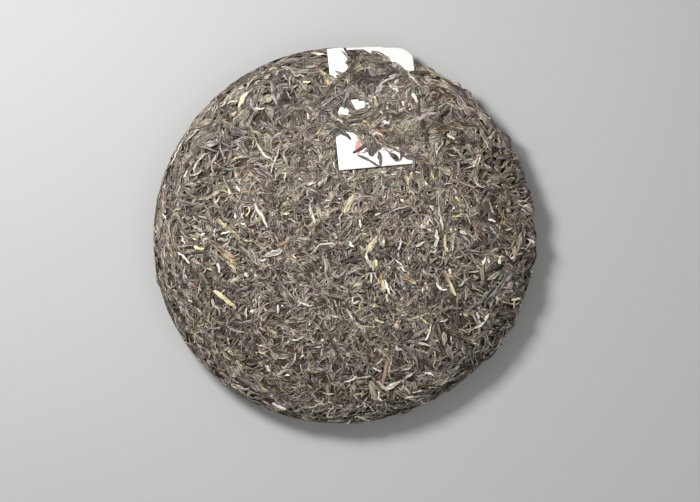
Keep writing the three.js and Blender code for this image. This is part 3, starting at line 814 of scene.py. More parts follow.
# Leaves that stand out in the photograph: what each is, its two ends in pixels, its width in
# pixels, how far it turns to the left along its length, and its tone from dark to light
LANDMARKS = {
    "downy_buds": [
        ("stem above the far bud", 258, 72, 244, 87, 2.4, 0.3, 0.1),
        ("pale leaf by the far rim", 266, 69, 259, 71, 3.2, 0.1, 0.4),
        ("second by the far rim", 270, 73, 264, 76, 3.4, 0.2, 0.3),
        ("strip on the far rim", 311, 52, 325, 50, 2.2, 0.2, 0.5),
        ("arch by the far rim", 281, 65, 297, 69, 2.0, -1.4, 0.2),
        ("curl left of the ticket", 316, 80, 328, 87, 1.8, 1.8, 0.4),
        ("small curl", 254, 106, 264, 108, 2.0, 1.0, 0.9),
        ("curl to the left of it", 226, 102, 237, 98, 2.0, -0.7, 0.4),
        ("pale leaf on the left rim", 220, 106, 229, 92, 3.2, 0.1, 0.2),
        ("strip on the left rim", 198, 120, 211, 105, 1.8, 0.1, 0.1),
        ("line to the left rim", 200, 128, 182, 140, 1.8, 0.3, 0.5),
        ("line along the left rim", 181, 141, 170, 163, 1.6, 0.3, 0.4),
        ("loop at the left", 207, 152, 191, 170, 2.0, 1.7, 0.3),
        ("second half of the loop", 189, 173, 202, 171, 1.8, 2.0, 0.3),
        ("strand below the loop", 182, 173, 176, 194, 1.6, 0.3, 0.2),
        ("oval at the left", 174, 200, 180, 229, 1.8, 1.3, 0.0),
        ("lower side of the oval", 178, 229, 200, 219, 1.8, 0.8, 0.0),
        ("long pale bud", 254, 139, 272, 163, 3.4, 0.9, 0.5),
        ("bud on the left", 178, 251, 190, 263, 2.8, -0.3, 0.9),
        ("pale strip", 256, 203, 267, 228, 4.4, 0.1, 0.5),
        ("white leaf in the bundle", 221, 234, 231, 232, 2.6, 0.1, 1.0),
        ("white bit beside it", 214, 233, 216, 228, 1.8, 0.1, 0.8),
        ("grey pink leaf", 226, 246, 241, 251, 2.2, -0.3, 0.0),
        ("thin strip under the bundle", 250, 249, 260, 265, 1.8, 0.0, 0.3),
        ("thick white bit", 245, 273, 249, 277, 2.8, 0.0, 0.7),
        ("pale bit at the left", 218, 263, 221, 273, 2.6, 0.1, 0.4),
        ("cream leaf at the lower left", 212, 299, 222, 315, 2.6, 0.1, 0.3),
        ("white sliver", 278, 305, 279, 313, 2.4, 0.1, 0.7),
        ("white pink sliver", 247, 307, 247, 318, 1.8, 0.0, 0.6),
        ("cream flake above the middle", 307, 185, 318, 181, 3.6, 0.1, 0.6),
        ("khaki strip left of the middle", 310, 202, 314, 224, 2.8, 0.1, 0.5),
        ("feather's stem", 344, 210, 339, 227, 2.0, 1.2, 0.5),
        ("small white bit", 324, 202, 331, 200, 1.8, 0.0, 0.8),
        ("white hook", 359, 220, 362, 228, 2.2, -0.4, 1.0),
        ("pale knob", 333, 233, 336, 239, 3.6, 0.0, 0.2),
        ("cream dot", 349, 242, 354, 247, 3.4, 0.0, 0.7),
        ("white curl", 315, 250, 335, 241, 2.0, -1.2, 0.9),
        ("stem of the chain", 367, 252, 371, 268, 2.4, 2.1, 0.6),
        ("tail of the chain", 371, 273, 372, 284, 2.2, 0.2, 0.6),
        ("pale strip of the fan", 384, 280, 390, 295, 2.8, 0.2, 0.9),
        ("second strip of the fan", 390, 286, 395, 295, 2.0, 0.1, 0.7),
        ("white strip right of the middle", 396, 259, 403, 268, 1.8, 0.0, 0.8),
        ("second white strip", 399, 267, 407, 272, 2.2, 0.0, 0.8),
        ("upright white bit", 399, 250, 401, 242, 2.0, 0.0, 0.8),
        ("white bud to the right", 416, 247, 426, 241, 2.8, 0.4, 0.7),
        ("upright zigzag", 434, 247, 439, 230, 3.2, 0.6, 0.6),
        ("strip above the zigzag", 440, 204, 441, 230, 2.8, 0.2, 0.5),
        ("pale grey bud", 409, 215, 414, 227, 2.8, 0.2, 0.0),
        ("thin pale strip", 389, 212, 410, 206, 1.6, 0.2, 0.2),
        ("beige flake", 265, 256, 283, 250, 4.8, 0.2, 0.2),
        ("prong of the chain", 374, 273, 377, 279, 1.8, 0.0, 0.7),
        ("white bit above the bundle", 235, 213, 236, 219, 2.4, 0.0, 0.8),
        ("pale bit in the right group", 459, 231, 467, 234, 3.2, 0.1, 0.5),
        ("white bit by the stalk", 449, 269, 450, 274, 2.6, 0.0, 0.9),
        ("curl left of the stalk", 435, 284, 447, 291, 1.8, 1.2, 0.7),
        ("pale stalk", 278, 145, 272, 173, 1.8, 0.1, 0.4),
        ("left half of the pink leaf", 376, 382, 389, 391, 3.4, 0.3, 0.4),
        ("cream leaf at the near left edge", 273, 401, 286, 408, 2.8, 0.2, 0.4),
        ("white crumb", 375, 215, 381, 214, 2.2, 0.0, 0.7),
        ("leaf in the right group", 450, 228, 480, 236, 2.2, -0.3, 0.0),
        ("white flake at the right", 488, 219, 495, 221, 3.2, 0.0, 1.0),
        ("long pale leaf at the right", 489, 225, 501, 241, 2.6, 0.1, 0.1),
        ("pale zigzag", 456, 236, 450, 250, 2.6, 0.5, 0.2),
        ("right loop", 464, 249, 498, 249, 1.4, 1.0, 0.1),
        ("white tip of the loop", 490, 251, 498, 248, 2.4, 0.3, 0.9),
        ("upright crumb", 488, 258, 488, 263, 2.2, 0.0, 1.0),
        ("second upright crumb", 499, 258, 499, 264, 2.2, 0.0, 1.0),
        ("curl on the right rim", 522, 206, 529, 204, 2.6, -1.6, 0.8),
        ("strip on the right rim", 530, 227, 528, 239, 2.0, 0.2, 0.6),
        ("flake left of the cluster", 493, 295, 499, 300, 3.0, 0.0, 0.5),
        ("bud in the cream cluster", 477, 312, 479, 324, 3.0, 0.2, 0.9),
        ("second of the cluster", 474, 328, 490, 315, 2.6, 0.9, 0.8),
        ("strip left of the cluster", 440, 322, 448, 319, 2.2, 0.1, 0.6),
        ("curl on the lower right rim", 505, 321, 511, 323, 2.2, 1.4, 0.7),
        ("curl below the middle", 300, 302, 314, 307, 2.4, 0.7, 0.6),
        ("cream bar below the middle", 328, 315, 338, 317, 2.6, 0.0, 0.5),
        ("pale arch below the middle", 346, 310, 354, 320, 2.6, -0.9, 0.3),
        ("bit right of the arch", 359, 317, 362, 322, 2.2, 0.0, 0.5),
        ("white end of the yellow strip", 380, 323, 384, 322, 2.2, 0.3, 0.9),
        ("bright edge of the pale flake", 425, 341, 433, 325, 2.0, 0.3, 0.7),
        ("striped flake", 419, 343, 431, 346, 2.4, 0.1, 0.4),
        ("cream curl at the near left", 296, 353, 290, 369, 2.2, -1.2, 0.6),
        ("yellow strip at the near left", 292, 341, 304, 337, 2.6, 0.2, 0.4),
        ("bud by the orange leaf", 373, 368, 382, 372, 2.4, 0.4, 0.8),
        ("pink leaf at the near side", 386, 389, 400, 382, 3.4, 0.2, 0.3),
        ("zigzag to it", 344, 381, 358, 378, 2.0, 0.3, 0.6),
        ("rest of the zigzag", 356, 379, 372, 376, 1.8, 0.2, 0.2),
        ("near left bar", 323, 393, 334, 394, 2.0, 0.0, 0.5),
        ("khaki flake at the near right", 405, 379, 413, 373, 3.0, 0.2, 0.2),
        ("second at the near right", 405, 388, 411, 394, 2.6, 0.1, 0.4),
        ("white line at the near right", 413, 393, 423, 389, 1.8, 0.1, 0.7),
        ("second line at the near right", 405, 398, 421, 396, 1.8, 0.1, 0.6),
        ("third line at the near right", 424, 372, 435, 376, 2.2, 0.1, 0.7),
        ("loop at the near edge", 354, 416, 370, 418, 2.4, -0.5, 0.4),
        ("under side of the loop", 371, 419, 350, 424, 2.4, -0.6, 0.3),
        ("tip of the loop", 346, 422, 351, 419, 2.8, 0.1, 0.9),
        ("ring at the near edge", 378, 403, 385, 416, 1.6, 2.2, 0.1),
        ("other half of the ring", 385, 403, 386, 416, 1.6, -1.2, 0.1),
        ("bud near the edge", 326, 416, 331, 408, 2.0, 0.1, 0.3),
        ("white line over the cover", 330, 112, 343, 124, 1.8, 0.1, 0.4),
        ("yellow stem by the near window", 350, 126, 361, 123, 2.0, -0.5, 0.3),
        ("white flake over the cover", 383, 121, 390, 123, 2.8, 0.0, 1.0),
        ("pale leaf from it", 390, 123, 408, 128, 2.6, 0.1, 0.0),
        ("stem by the far corner", 408, 68, 419, 86, 1.8, 0.9, 0.4),
        ("white bud right of the cover", 412, 93, 418, 102, 2.6, 0.2, 0.9),
        ("second bud right of the cover", 402, 100, 405, 106, 2.4, 0.1, 0.5),
        ("dot by the slit", 366, 103, 369, 104, 2.2, 0.0, 0.9),
        ("dot over the cover", 380, 111, 383, 113, 2.4, 0.0, 0.9),
        ("stem at the ticket's left", 336, 85, 335, 95, 1.6, 0.1, 0.1),
        ("curl right of the ticket", 453, 146, 466, 160, 2.4, 0.8, 0.2),
        ("leaf right of the ticket", 443, 141, 437, 154, 2.2, 0.4, 0.4),
    ],
    "golden_stalks": [
        ("far bud", 247, 90, 238, 105, 4.4, 0.1, 1.1),
        ("feather", 354, 194, 345, 213, 5.0, 0.1, 0.75),
        ("head of the chain", 376, 239, 367, 252, 5.4, 0.1, 0.6),
        ("bud of the chain", 375, 260, 373, 271, 5.6, 0.1, 0.6),
        ("bit beside the fan", 378, 279, 380, 284, 2.6, 0.0, 0.6),
        ("yellow end of the orange patch", 409, 279, 416, 284, 3.4, 0.1, 0.6),
        ("yellow bit left of the bundle", 194, 246, 204, 250, 2.8, 0.6, 0.7),
        ("yellow bit right of the bundle", 244, 241, 252, 241, 2.4, 0.4, 0.6),
        ("stalk at the right", 445, 271, 455, 296, 3.8, 0.0, 0.7),
        ("upright stalk at the right", 503, 208, 501, 224, 2.0, 0.0, 0.3),
        ("yellow flake in the middle", 283, 214, 290, 213, 3.6, 0.1, 0.7),
        ("lime bit", 444, 235, 446, 252, 3.6, 0.0, 0.6),
        ("ochre on the far rim", 269, 68, 276, 65, 2.6, -0.4, 0.4),
        ("yellow flake by the far rim", 302, 80, 310, 80, 3.2, 0.2, 0.9),
        ("khaki stalk left of the ticket", 318, 65, 332, 87, 3.8, 0.0, 0.3),
        ("yellow sliver", 275, 97, 276, 104, 1.8, 0.0, 0.7),
        ("cream by the ochre patch", 268, 98, 273, 94, 2.2, 0.3, 0.9),
        ("yellow bit at the left", 228, 188, 230, 194, 2.6, 0.0, 0.7),
        ("head of the bundle", 217, 220, 226, 227, 4.0, 0.1, 0.6),
        ("bundle", 225, 223, 241, 239, 2.6, -0.1, 0.2),
        ("bundle's second strip", 227, 227, 240, 241, 2.2, 0.1, 0.1),
        ("yellow leaf under the orange pair", 224, 255, 237, 265, 3.0, 0.1, 0.4),
        ("its tail", 228, 261, 237, 273, 2.4, 0.1, 0.6),
        ("bright strip at the lower left", 215, 290, 235, 306, 3.2, -0.1, 0.8),
        ("fan's head", 382, 273, 382, 282, 3.4, 0.0, 0.2),
        ("fan", 382, 280, 384, 292, 4.2, 0.1, 0.8),
        ("tan strip", 361, 214, 368, 209, 2.2, 0.0, 0.4),
        ("lime bits", 406, 257, 408, 268, 2.4, 0.2, 0.0),
        ("yellow cluster", 502, 294, 508, 300, 2.2, 0.3, 0.5),
        ("strip over the cluster", 511, 299, 521, 295, 2.0, 0.7, 0.8),
        ("long strip under the cluster", 500, 300, 520, 303, 1.8, 0.3, 0.7),
        ("yellow strip", 375, 319, 382, 324, 2.4, 0.0, 0.8),
        ("orange bit", 386, 342, 389, 348, 2.4, 0.1, 0.3),
        ("ochre stem over the cover", 362, 120, 374, 128, 3.2, 0.0, 0.2),
        ("khaki bit over the cover", 374, 96, 378, 105, 3.4, 0.1, 0.5),
        ("strip right of the cover", 455, 197, 463, 202, 2.2, 0.3, 0.4),
    ],
    "rust_leaves": [
        ("orange patch", 404, 274, 415, 283, 5.0, 0.1, 0.9),
        ("orange flake", 279, 246, 289, 241, 4.6, 0.1, 1.2),
        ("first of the orange pair", 224, 250, 235, 259, 3.2, 0.1, 1.2),
        ("second of the orange pair", 222, 253, 232, 264, 2.4, 0.1, 1.0),
        ("brown stem to the pair", 211, 244, 223, 253, 2.4, 0.1, 0.6),
        ("orange head of the stalk", 444, 271, 449, 284, 2.8, 0.0, 1.3),
        ("rust beside the stalk", 451, 273, 456, 286, 2.6, 0.1, 0.2),
        ("reddish group", 476, 225, 486, 237, 3.6, 0.2, 0.2),
        ("second reddish leaf", 474, 229, 484, 233, 3.0, 0.1, 0.0),
        ("dusky leaf at the right", 504, 264, 511, 268, 3.4, 0.1, 0.2),
        ("red speck", 370, 356, 376, 357, 3.4, 0.1, 0.6),
        ("red speck at the left", 243, 322, 247, 331, 2.8, 0.1, 0.0),
        ("orange brown leaf", 387, 362, 383, 386, 5.2, 0.1, 1.2),
        ("pink strip", 416, 233, 412, 244, 2.4, 0.0, 0.7),
        ("orange brown bit", 416, 210, 419, 216, 2.8, 0.0, 0.7),
        ("brown leaf over the cover", 374, 128, 395, 134, 5.4, 0.1, 0.3),
        ("second brown leaf there", 375, 132, 382, 140, 3.6, 0.1, 0.6),
        ("orange strip", 249, 169, 239, 184, 2.6, 0.1, 1.1),
        ("second orange strip", 246, 165, 236, 177, 2.2, 0.2, 0.9),
        ("patch by the orange strips", 250, 169, 257, 173, 4.6, 0.1, 0.3),
        ("left rim speck", 156, 272, 158, 284, 2.6, 0.1, 0.0),
        ("dusky pink line", 342, 382, 347, 393, 1.8, 0.0, 0.6),
    ],
    "broad_leaf_flakes": [
        ("khaki flake", 266, 132, 268, 151, 9.0, 0.1, 0.6),
        ("ochre patch", 259, 99, 272, 96, 7.4, 0.2, 0.8),
        ("olive flake", 225, 126, 228, 141, 6.0, 0.1, 0.0),
        ("tan flake on the left rim", 196, 124, 212, 118, 6.0, 0.1, 0.5),
        ("left flake", 174, 210, 181, 207, 6.0, 0.1, 0.4),
        ("tan flake above the curl", 297, 239, 311, 240, 3.8, 0.1, 0.9),
        ("right flake", 482, 267, 482, 280, 4.4, 0.1, 1.0),
        ("pink flake", 473, 275, 478, 279, 3.8, 0.1, 0.8),
        ("pale flake", 413, 338, 427, 328, 4.8, 0.2, 0.9),
        ("near flake", 371, 381, 375, 401, 5.0, 0.1, 1.0),
        ("beige flake over the cover", 377, 70, 387, 69, 6.0, 0.1, 0.5),
        ("brown flake over the cover", 383, 110, 400, 113, 6.0, 0.1, 0.1),
        ("round khaki flake", 415, 118, 416, 128, 5.0, 0.1, 0.4),
        ("cream flake", 444, 332, 444, 345, 4.2, 0.1, 0.8),
    ],
    "grey_rolled_leaves": [
        ("purple grey leaf", 220, 121, 220, 142, 4.4, 0.1, 0.4),
        ("purple grey flake", 204, 143, 216, 142, 6.0, 0.1, 0.5),
        ("long grey leaf", 269, 80, 278, 103, 4.8, 0.1, 0.7),
        ("grey leaf above it", 278, 68, 288, 78, 3.4, 0.0, 0.4),
        ("star's first leaf", 299, 76, 307, 90, 3.8, 0.1, 0.5),
        ("star's second leaf", 297, 82, 290, 92, 3.8, 0.1, 0.7),
        ("leaf on the far rim", 283, 60, 307, 54, 4.2, 0.1, 0.5),
        ("pair of strips", 234, 140, 246, 154, 2.4, 0.0, 0.7),
        ("grey line above", 246, 113, 230, 131, 1.8, 0.9, 0.7),
        ("pale long leaf", 241, 245, 257, 266, 4.2, 0.0, 0.9),
        ("long leaf from the right rim", 529, 266, 497, 281, 4.6, 0.2, 0.6),
        ("its middle", 512, 271, 485, 301, 4.6, -0.1, 0.4),
        ("its lower part", 494, 288, 464, 314, 4.4, -0.3, 0.6),
        ("bent leaf below the middle", 322, 259, 339, 294, 3.6, 0.5, 0.8),
        ("crossing strip by the chain", 385, 268, 395, 258, 2.4, 0.0, 0.9),
        ("first strip at the lower left", 282, 285, 299, 304, 2.4, 0.0, 0.9),
        ("second strip there", 291, 286, 305, 303, 2.2, 0.1, 0.9),
        ("third strip there", 298, 283, 304, 294, 2.0, 0.0, 0.8),
        ("short leaf below the middle", 338, 278, 348, 269, 2.8, 0.0, 0.7),
        ("stray over the ticket", 357, 155, 381, 166, 3.8, -0.2, 0.1),
        ("second stray", 378, 151, 381, 166, 3.2, 0.1, 0.0),
        ("third stray", 387, 151, 399, 160, 4.6, 0.2, 0.1),
        ("stray on the far patch", 335, 70, 343, 72, 1.8, 0.4, 0.1),
        ("leaf across the far patch", 345, 62, 353, 59, 4.0, 0.2, 0.1),
        ("leaf over the far edge", 341, 49, 357, 63, 3.4, 0.3, 0.5),
        ("second over the far edge", 349, 47, 350, 68, 3.2, -0.3, 0.4),
        ("leaf between slit and notch", 343, 107, 349, 90, 4.6, 0.1, 0.8),
        ("strips above it", 343, 92, 355, 80, 4.4, 0.1, 0.6),
    ],
    "dark_rolled_leaves": [
        ("long purple brown leaf", 189, 138, 218, 152, 4.0, 0.1, 0.9),
        ("dark leaf left of the ticket", 311, 94, 326, 96, 6.4, 0.2, 0.1),
        ("its tip over the ticket", 323, 97, 335, 83, 6.0, 0.7, 0.1),
        ("leaf at the ticket's left", 315, 107, 337, 107, 5.6, 0.1, 0.5),
        ("leaf over the left corner", 322, 113, 338, 124, 4.6, 0.2, 0.4),
        ("second over the left corner", 319, 121, 341, 129, 4.6, 0.1, 0.5),
        ("upper bar", 349, 113, 369, 109, 5.0, 0.1, 0.7),
        ("bar across the ticket", 346, 121, 374, 113, 6.6, 0.2, 0.5),
        ("leaf below the bar", 338, 123, 353, 131, 4.4, 0.2, 0.4),
        ("stem by the far patch", 346, 73, 354, 61, 4.2, -0.2, 0.3),
        ("leaf along the far patch", 337, 77, 357, 69, 6.0, -0.5, 0.4),
        ("long leaf to the right", 391, 79, 408, 69, 4.4, 0.1, 0.9),
        ("leaf from the far left", 330, 99, 347, 82, 4.6, 0.3, 0.4),
        ("leaf along the near window", 398, 150, 424, 158, 4.4, 0.3, 0.6),
        ("leaf below the slit", 366, 106, 398, 96, 4.6, -0.3, 0.5),
        ("leaf at the far edge", 343, 46, 353, 57, 3.2, 0.2, 0.3),
        ("leaf along the far strip", 356, 56, 390, 62, 4.6, 0.5, 0.5),
        ("second along the far strip", 380, 58, 404, 76, 4.4, 0.4, 0.3),
        ("leaf over the near right corner", 408, 164, 428, 160, 5.0, 0.1, 0.5),
        ("second over that corner", 409, 158, 427, 167, 4.6, 0.1, 0.4),
        ("third over that corner", 404, 154, 424, 162, 4.6, 0.2, 0.7),
        ("roll above the print", 357, 129, 367, 134, 5.6, 0.2, 0.4),
        ("leaf beside the print", 359, 136, 364, 152, 5.0, 0.2, 0.5),
        ("leaf at the foot of the far patch", 325, 91, 339, 80, 5.0, 0.1, 0.4),
        ("second beside the print", 367, 134, 369, 153, 5.0, 0.1, 0.8),
        ("third beside the print", 372, 137, 376, 152, 5.0, -0.1, 0.6),
        ("dark leaf left of the chain", 346, 262, 362, 258, 5.6, 0.1, 0.1),
        ("dark leaf right of the chain", 378, 252, 391, 257, 6.4, 0.1, 0.1),
        ("second right of the chain", 378, 259, 390, 250, 4.4, 0.2, 0.0),
        ("dark leaf by the bundle", 240, 228, 248, 236, 5.4, 0.1, 0.3),
        ("dark leaf at the lower left", 214, 283, 230, 289, 5.6, 0.1, 0.3),
        ("dark leaf by the curl", 316, 246, 332, 250, 4.4, 0.1, 0.2),
        ("long stem at the near side", 322, 329, 344, 361, 4.0, 0.0, 0.0),
    ],
}


def srgb(red, green, blue):
    """Linear colour from 0 to 255 screen values: a straight line below 0.04045, a power of 2.4 above."""
    value = np.array([red, green, blue]) / 255
    linear = np.where(value <= 0.04045, value / 12.92, ((value + 0.055) / 1.055) ** 2.4)
    return (*linear, 1.0)


# Where most values of soft noise lie
NOISE_RANGE = (0.3, 0.7)


class Nodes:
    """A short way to add shader nodes and join them."""

    def __init__(self, name):
        self.material = bpy.data.materials.new(name)
        self.material.use_nodes = True
        self.tree = self.material.node_tree
        self.tree.nodes.clear()
        self.output = self.tree.nodes.new("ShaderNodeOutputMaterial")

    def add(self, kind, inputs=None, **settings):
        """A node with its settings, and with each input linked to a socket or set to a value."""
        node = self.tree.nodes.new(kind)
        for key, value in settings.items():
            setattr(node, key, value)
        for key, value in (inputs or {}).items():
            if isinstance(value, bpy.types.NodeSocket):
                self.tree.links.new(value, node.inputs[key])
            else:
                node.inputs[key].default_value = value
        return node

    def mark(self, name):
        """A value that each leaf's points carry."""
        return self.add("ShaderNodeAttribute", attribute_name=name).outputs["Fac"]

    def noise(self, place, scale, detail):
        """Soft noise from 0 to 1."""
        inputs = {"Vector": place, "Scale": scale, "Detail": detail}
        return self.add("ShaderNodeTexNoise", inputs).outputs["Fac"]

    def drift(self, place, scale, detail, low, high):
        """Soft noise from low to high, stretched by the middle range in which most of it lies."""
        return self.spread_to(self.noise(place, scale, detail), low, high, *NOISE_RANGE)

    def ramp(self, factor, stops):
        """Colours at places from 0 to 1."""
        node = self.add("ShaderNodeValToRGB", {"Fac": factor})
        elements = node.color_ramp.elements
        while len(elements) > 1:
            elements.remove(elements[-1])
        elements[0].position, elements[0].color = stops[0]
        for place, colour in stops[1:]:
            elements.new(place).color = colour
        return node.outputs["Color"]

    def spread_to(self, value, low, high, from_low=0.0, from_high=1.0):
        """A value moved from one range to another."""
        node = self.add("ShaderNodeMapRange", {"Value": value, "From Min": from_low, "From Max": from_high,
                                               "To Min": low, "To Max": high})
        return node.outputs["Result"]

    def times(self, first, second):
        """The product of two values."""
        return self.add("ShaderNodeMath", {0: first, 1: second}, operation="MULTIPLY").outputs[0]

    def vector(self, operation, first, *second):
        """The outputs of a vector step of the named kind."""
        inputs = dict(enumerate((first, *second)))
        return self.add("ShaderNodeVectorMath", inputs, operation=operation).outputs

    def sum(self, first, *others):
        """The sum of several values."""
        for value in others:
            first = self.add("ShaderNodeMath", {0: first, 1: value}).outputs[0]
        return first

    def scaled(self, colour, factor):
        """A colour made lighter or darker by a factor."""
        node = self.add("ShaderNodeVectorMath", {0: colour, "Scale": factor}, operation="SCALE")
        return node.outputs["Vector"]

    def rough_surface(self, colour, roughness, height, specular, strength, distance):
        """The finished material: a dry surface with a fine bump, whose distance is in metres."""
        bump = self.add("ShaderNodeBump", {"Height": height, "Strength": strength, "Distance": distance})
        shader = self.add("ShaderNodeBsdfPrincipled", {
            "Base Color": colour,
            "Roughness": roughness,
            "Specular IOR Level": specular,
            "Normal": bump.outputs["Normal"],
        })
        return self.finish(shader)

    def finish(self, shader):
        """The material, with the shader as its surface."""
        self.tree.links.new(shader.outputs[0], self.output.inputs["Surface"])
        return self.material


# How far the fibres are drawn out along a leaf, how far fibres move its shade down and up, how far the
# painted shade in the creases and the painted highlight on the ridges move it, and the ranges in which they
# do
FIBRE_STRETCH = (0.16, 0.8, 1.0)
DARK_STREAKS = -0.62
PALE_STREAKS = 0.88
STREAK_RANGE = (0.36, 0.68)
# Painted shade in the creases and painted highlight on the ridges
PAINTED_SHADE_IN_CREASES = -0.22
PAINTED_HIGHLIGHT_ON_RIDGES = 0.14
RIDGE_RANGE = (0.45, 1.0)


def leaf_finish(name, shades, roughness, streaks):
    """Dry rolled leaf: each leaf takes its own shade, with veins and fibres along it, painted highlights on
    the ridges, painted shade in the creases, and a tint that drifts between purple and green. Streaks says
    how strong the fibres are."""
    nodes = Nodes(name)
    fibre_map = nodes.add("ShaderNodeUVMap", uv_map="fibre").outputs["UV"]
    drawn_out = nodes.vector("MULTIPLY", fibre_map, FIBRE_STRETCH)[0]
    fibres = nodes.noise(drawn_out, scale=0.95, detail=3.0)
    veins = nodes.drift(drawn_out, scale=0.35, detail=1.0, low=-0.22, high=0.22)
    blotches = nodes.drift(fibre_map, scale=0.22, detail=2.0, low=-0.14, high=0.14)
    grain = nodes.drift(fibre_map, scale=0.55, detail=2.0, low=-0.4, high=0.5)
    colour_drift = nodes.drift(fibre_map, scale=0.31, detail=2.0, low=-0.32, high=0.32)
    tint = nodes.ramp(nodes.sum(nodes.mark("hue"), colour_drift), TINTS)
    streaked = nodes.spread_to(fibres, DARK_STREAKS * streaks, PALE_STREAKS * streaks, *STREAK_RANGE)
    # Painted highlight on the ridges and painted shade in the creases
    painted_ridge_light = nodes.spread_to(nodes.mark("ridge"), PAINTED_SHADE_IN_CREASES, PAINTED_HIGHLIGHT_ON_RIDGES, *RIDGE_RANGE)
    place = nodes.sum(nodes.mark("tone"), streaked, veins, blotches, grain, painted_ridge_light)
    stops = [(i / (len(shades) - 1), srgb(*shade)) for i, shade in enumerate(shades)]
    tinted = nodes.vector("MULTIPLY", nodes.ramp(place, stops), tint)[0]
    # Each leaf's shade mark carries painted light and shade by its place
    colour = nodes.scaled(tinted, nodes.mark("shade"))
    return nodes.rough_surface(colour, roughness, fibres, specular=0.45, strength=0.9, distance=0.001)


# Tints that drift over every leaf, as factors of linear colour
TINTS = [(0.2, (1.04, 0.94, 1.01, 1.0)), (0.4, (0.95, 0.99, 1.06, 1.0)), (0.55, (0.995, 0.995, 0.98, 1.0)),
         (0.7, (0.95, 1.03, 0.89, 1.0)), (0.9, (1.08, 0.97, 0.86, 1.0))]

# Kinds with a dull, even surface, and the roughness and the strength of the fibres of these and the rest
PALE_KINDS = ("downy_buds", "golden_stalks")
PALE_SURFACE = (0.7, 0.7)
DARK_SURFACE = (0.5, 1.4)

# Shades of each kind, from its darkest to its lightest leaf, as screen colours
SHADES = {
    "dark_rolled_leaves": [(46, 33, 22), (68, 57, 47), (98, 88, 78), (138, 130, 119)],
    "brown_rolled_leaves": [(53, 40, 29), (86, 75, 63), (122, 110, 97), (168, 157, 143)],
    "grey_rolled_leaves": [(50, 40, 33), (86, 77, 70), (120, 113, 106), (168, 161, 153)],
    "olive_rolled_leaves": [(54, 45, 33), (88, 81, 67), (122, 116, 100), (166, 161, 144)],
    "fine_curled_strands": [(74, 63, 52), (112, 102, 90), (152, 143, 131), (202, 194, 182)],
    "downy_buds": [(126, 116, 101), (174, 166, 152), (212, 205, 193), (242, 236, 226)],
    "golden_stalks": [(100, 86, 62), (144, 129, 98), (188, 172, 136), (232, 221, 187)],
    "rust_leaves": [(76, 50, 42), (102, 76, 66), (130, 104, 88), (170, 140, 112)],
    "broad_leaf_flakes": [(64, 54, 43), (98, 89, 76), (132, 124, 108), (170, 161, 140)],
    "leaf_crumbs": [(40, 29, 22), (82, 71, 60), (132, 121, 108), (208, 199, 184)],
}


def dark_mass_and_gap_shade():
    """Dark dry crumbs, with a grain of two millimetres and finer, partly painted shade: darker than the
    leaves, for the gaps between them.
    """
    nodes = Nodes("pressed_mass_and_gap_shade")
    place = nodes.add("ShaderNodeTexCoord").outputs["Object"]
    grain = nodes.noise(place, scale=420.0, detail=4.0)
    # Painted shade in part: darker than the leaves, for the gaps between them
    stops = [(0.0, srgb(35, 24, 14)), (1.0, srgb(76, 63, 50))]
    colour = nodes.ramp(nodes.spread_to(grain, 0, 1, *NOISE_RANGE), stops)
    return nodes.rough_surface(colour, 0.85, grain, specular=0.5, strength=0.8, distance=0.001)


# How far the core lies below the body, how rough it is, the lowest that it reaches, and its waves: how
# many, and how many radians each makes in a millimetre
CORE_INSET = 1.2
CORE_ROUGHNESS = 0.12
CORE_FLOOR = 0.9
CORE_WAVES = 24
CORE_RATES = (0.5, 1.4)


def pressed_core(material):
    """The dark mass between the leaves, whose darkness is partly painted shade in the gaps: the body drawn
    in by a little and roughened by seeded waves.
    """
    rows, columns = 149, 300
    arcs = np.linspace(0, ARCS[-1], rows + 2)[1:-1]
    azimuths = np.arange(columns) / columns * TURN
    arc, azimuth = np.meshgrid(arcs, azimuths, indexing="ij")
    on, out, _, _ = body_frame(arc, azimuth)
    relief = np.zeros(arc.shape)
    for _ in range(CORE_WAVES):
        way = RNG.normal(0, 1, 3)
        way /= np.linalg.norm(way)
        relief += np.sin(on @ way * RNG.uniform(*CORE_RATES) + RNG.uniform(0, TURN))
    drawn_in = CORE_ROUGHNESS * relief - CORE_INSET
    rings = (on + drawn_in[..., None] * out).reshape(-1, 3)
    poles = np.array([[0, 0, BODY_HEIGHT - CORE_INSET], [0, 0, KNOT_DEPTH + CORE_INSET]])
    points = np.vstack([rings, poles])
    points[:, 2] = np.maximum(points[:, 2], CORE_FLOOR)
    quads = grid_quads(rows, columns, closed=True)[:, QUAD_OVER]
    spoke = np.arange(columns)
    crown = len(rings)
    caps = np.vstack([fan(crown, spoke), fan(crown + 1, crown - columns + spoke)[:, TRIANGLE_OVER]])
    return closed_mesh("pressed_core", unevenly(points), [quads, caps], material)


def curve_through(corners, count):
    """Even places on a closed curve through the corners. It leaves each corner along the line between
    its two neighbours: half of 2b + (c-a)t + (2a-5b+4c-d)t^2 + (3b-a-3c+d)t^3 from b to c."""
    place = np.arange(count) / count * len(corners)
    i, t = place.astype(int), (place % 1)[:, None]
    a, b, c, d = (corners[(i + k) % len(corners)] for k in (-1, 0, 1, 2))
    return 0.5 * (2 * b + (c - a) * t + (2 * a - 5 * b + 4 * c - d) * t ** 2
                  + (3 * b - a - 3 * c + d) * t ** 3)


# The cover's core: how far its underside lies above the ticket, its least thickness, how far it
# sinks where the ticket shows, the margin by the ticket's sides where it sinks too, how much thicker
# it is in the middle, and the outer share of its way over which that fades
COVER_GAP = 0.25
COVER_THICKNESS = 0.1
COVER_SINK = 1.6
SINK_MARGIN = 2.0
COVER_SWELL = 0.4 * COVER_RISE
SWELL_FADE = 0.25


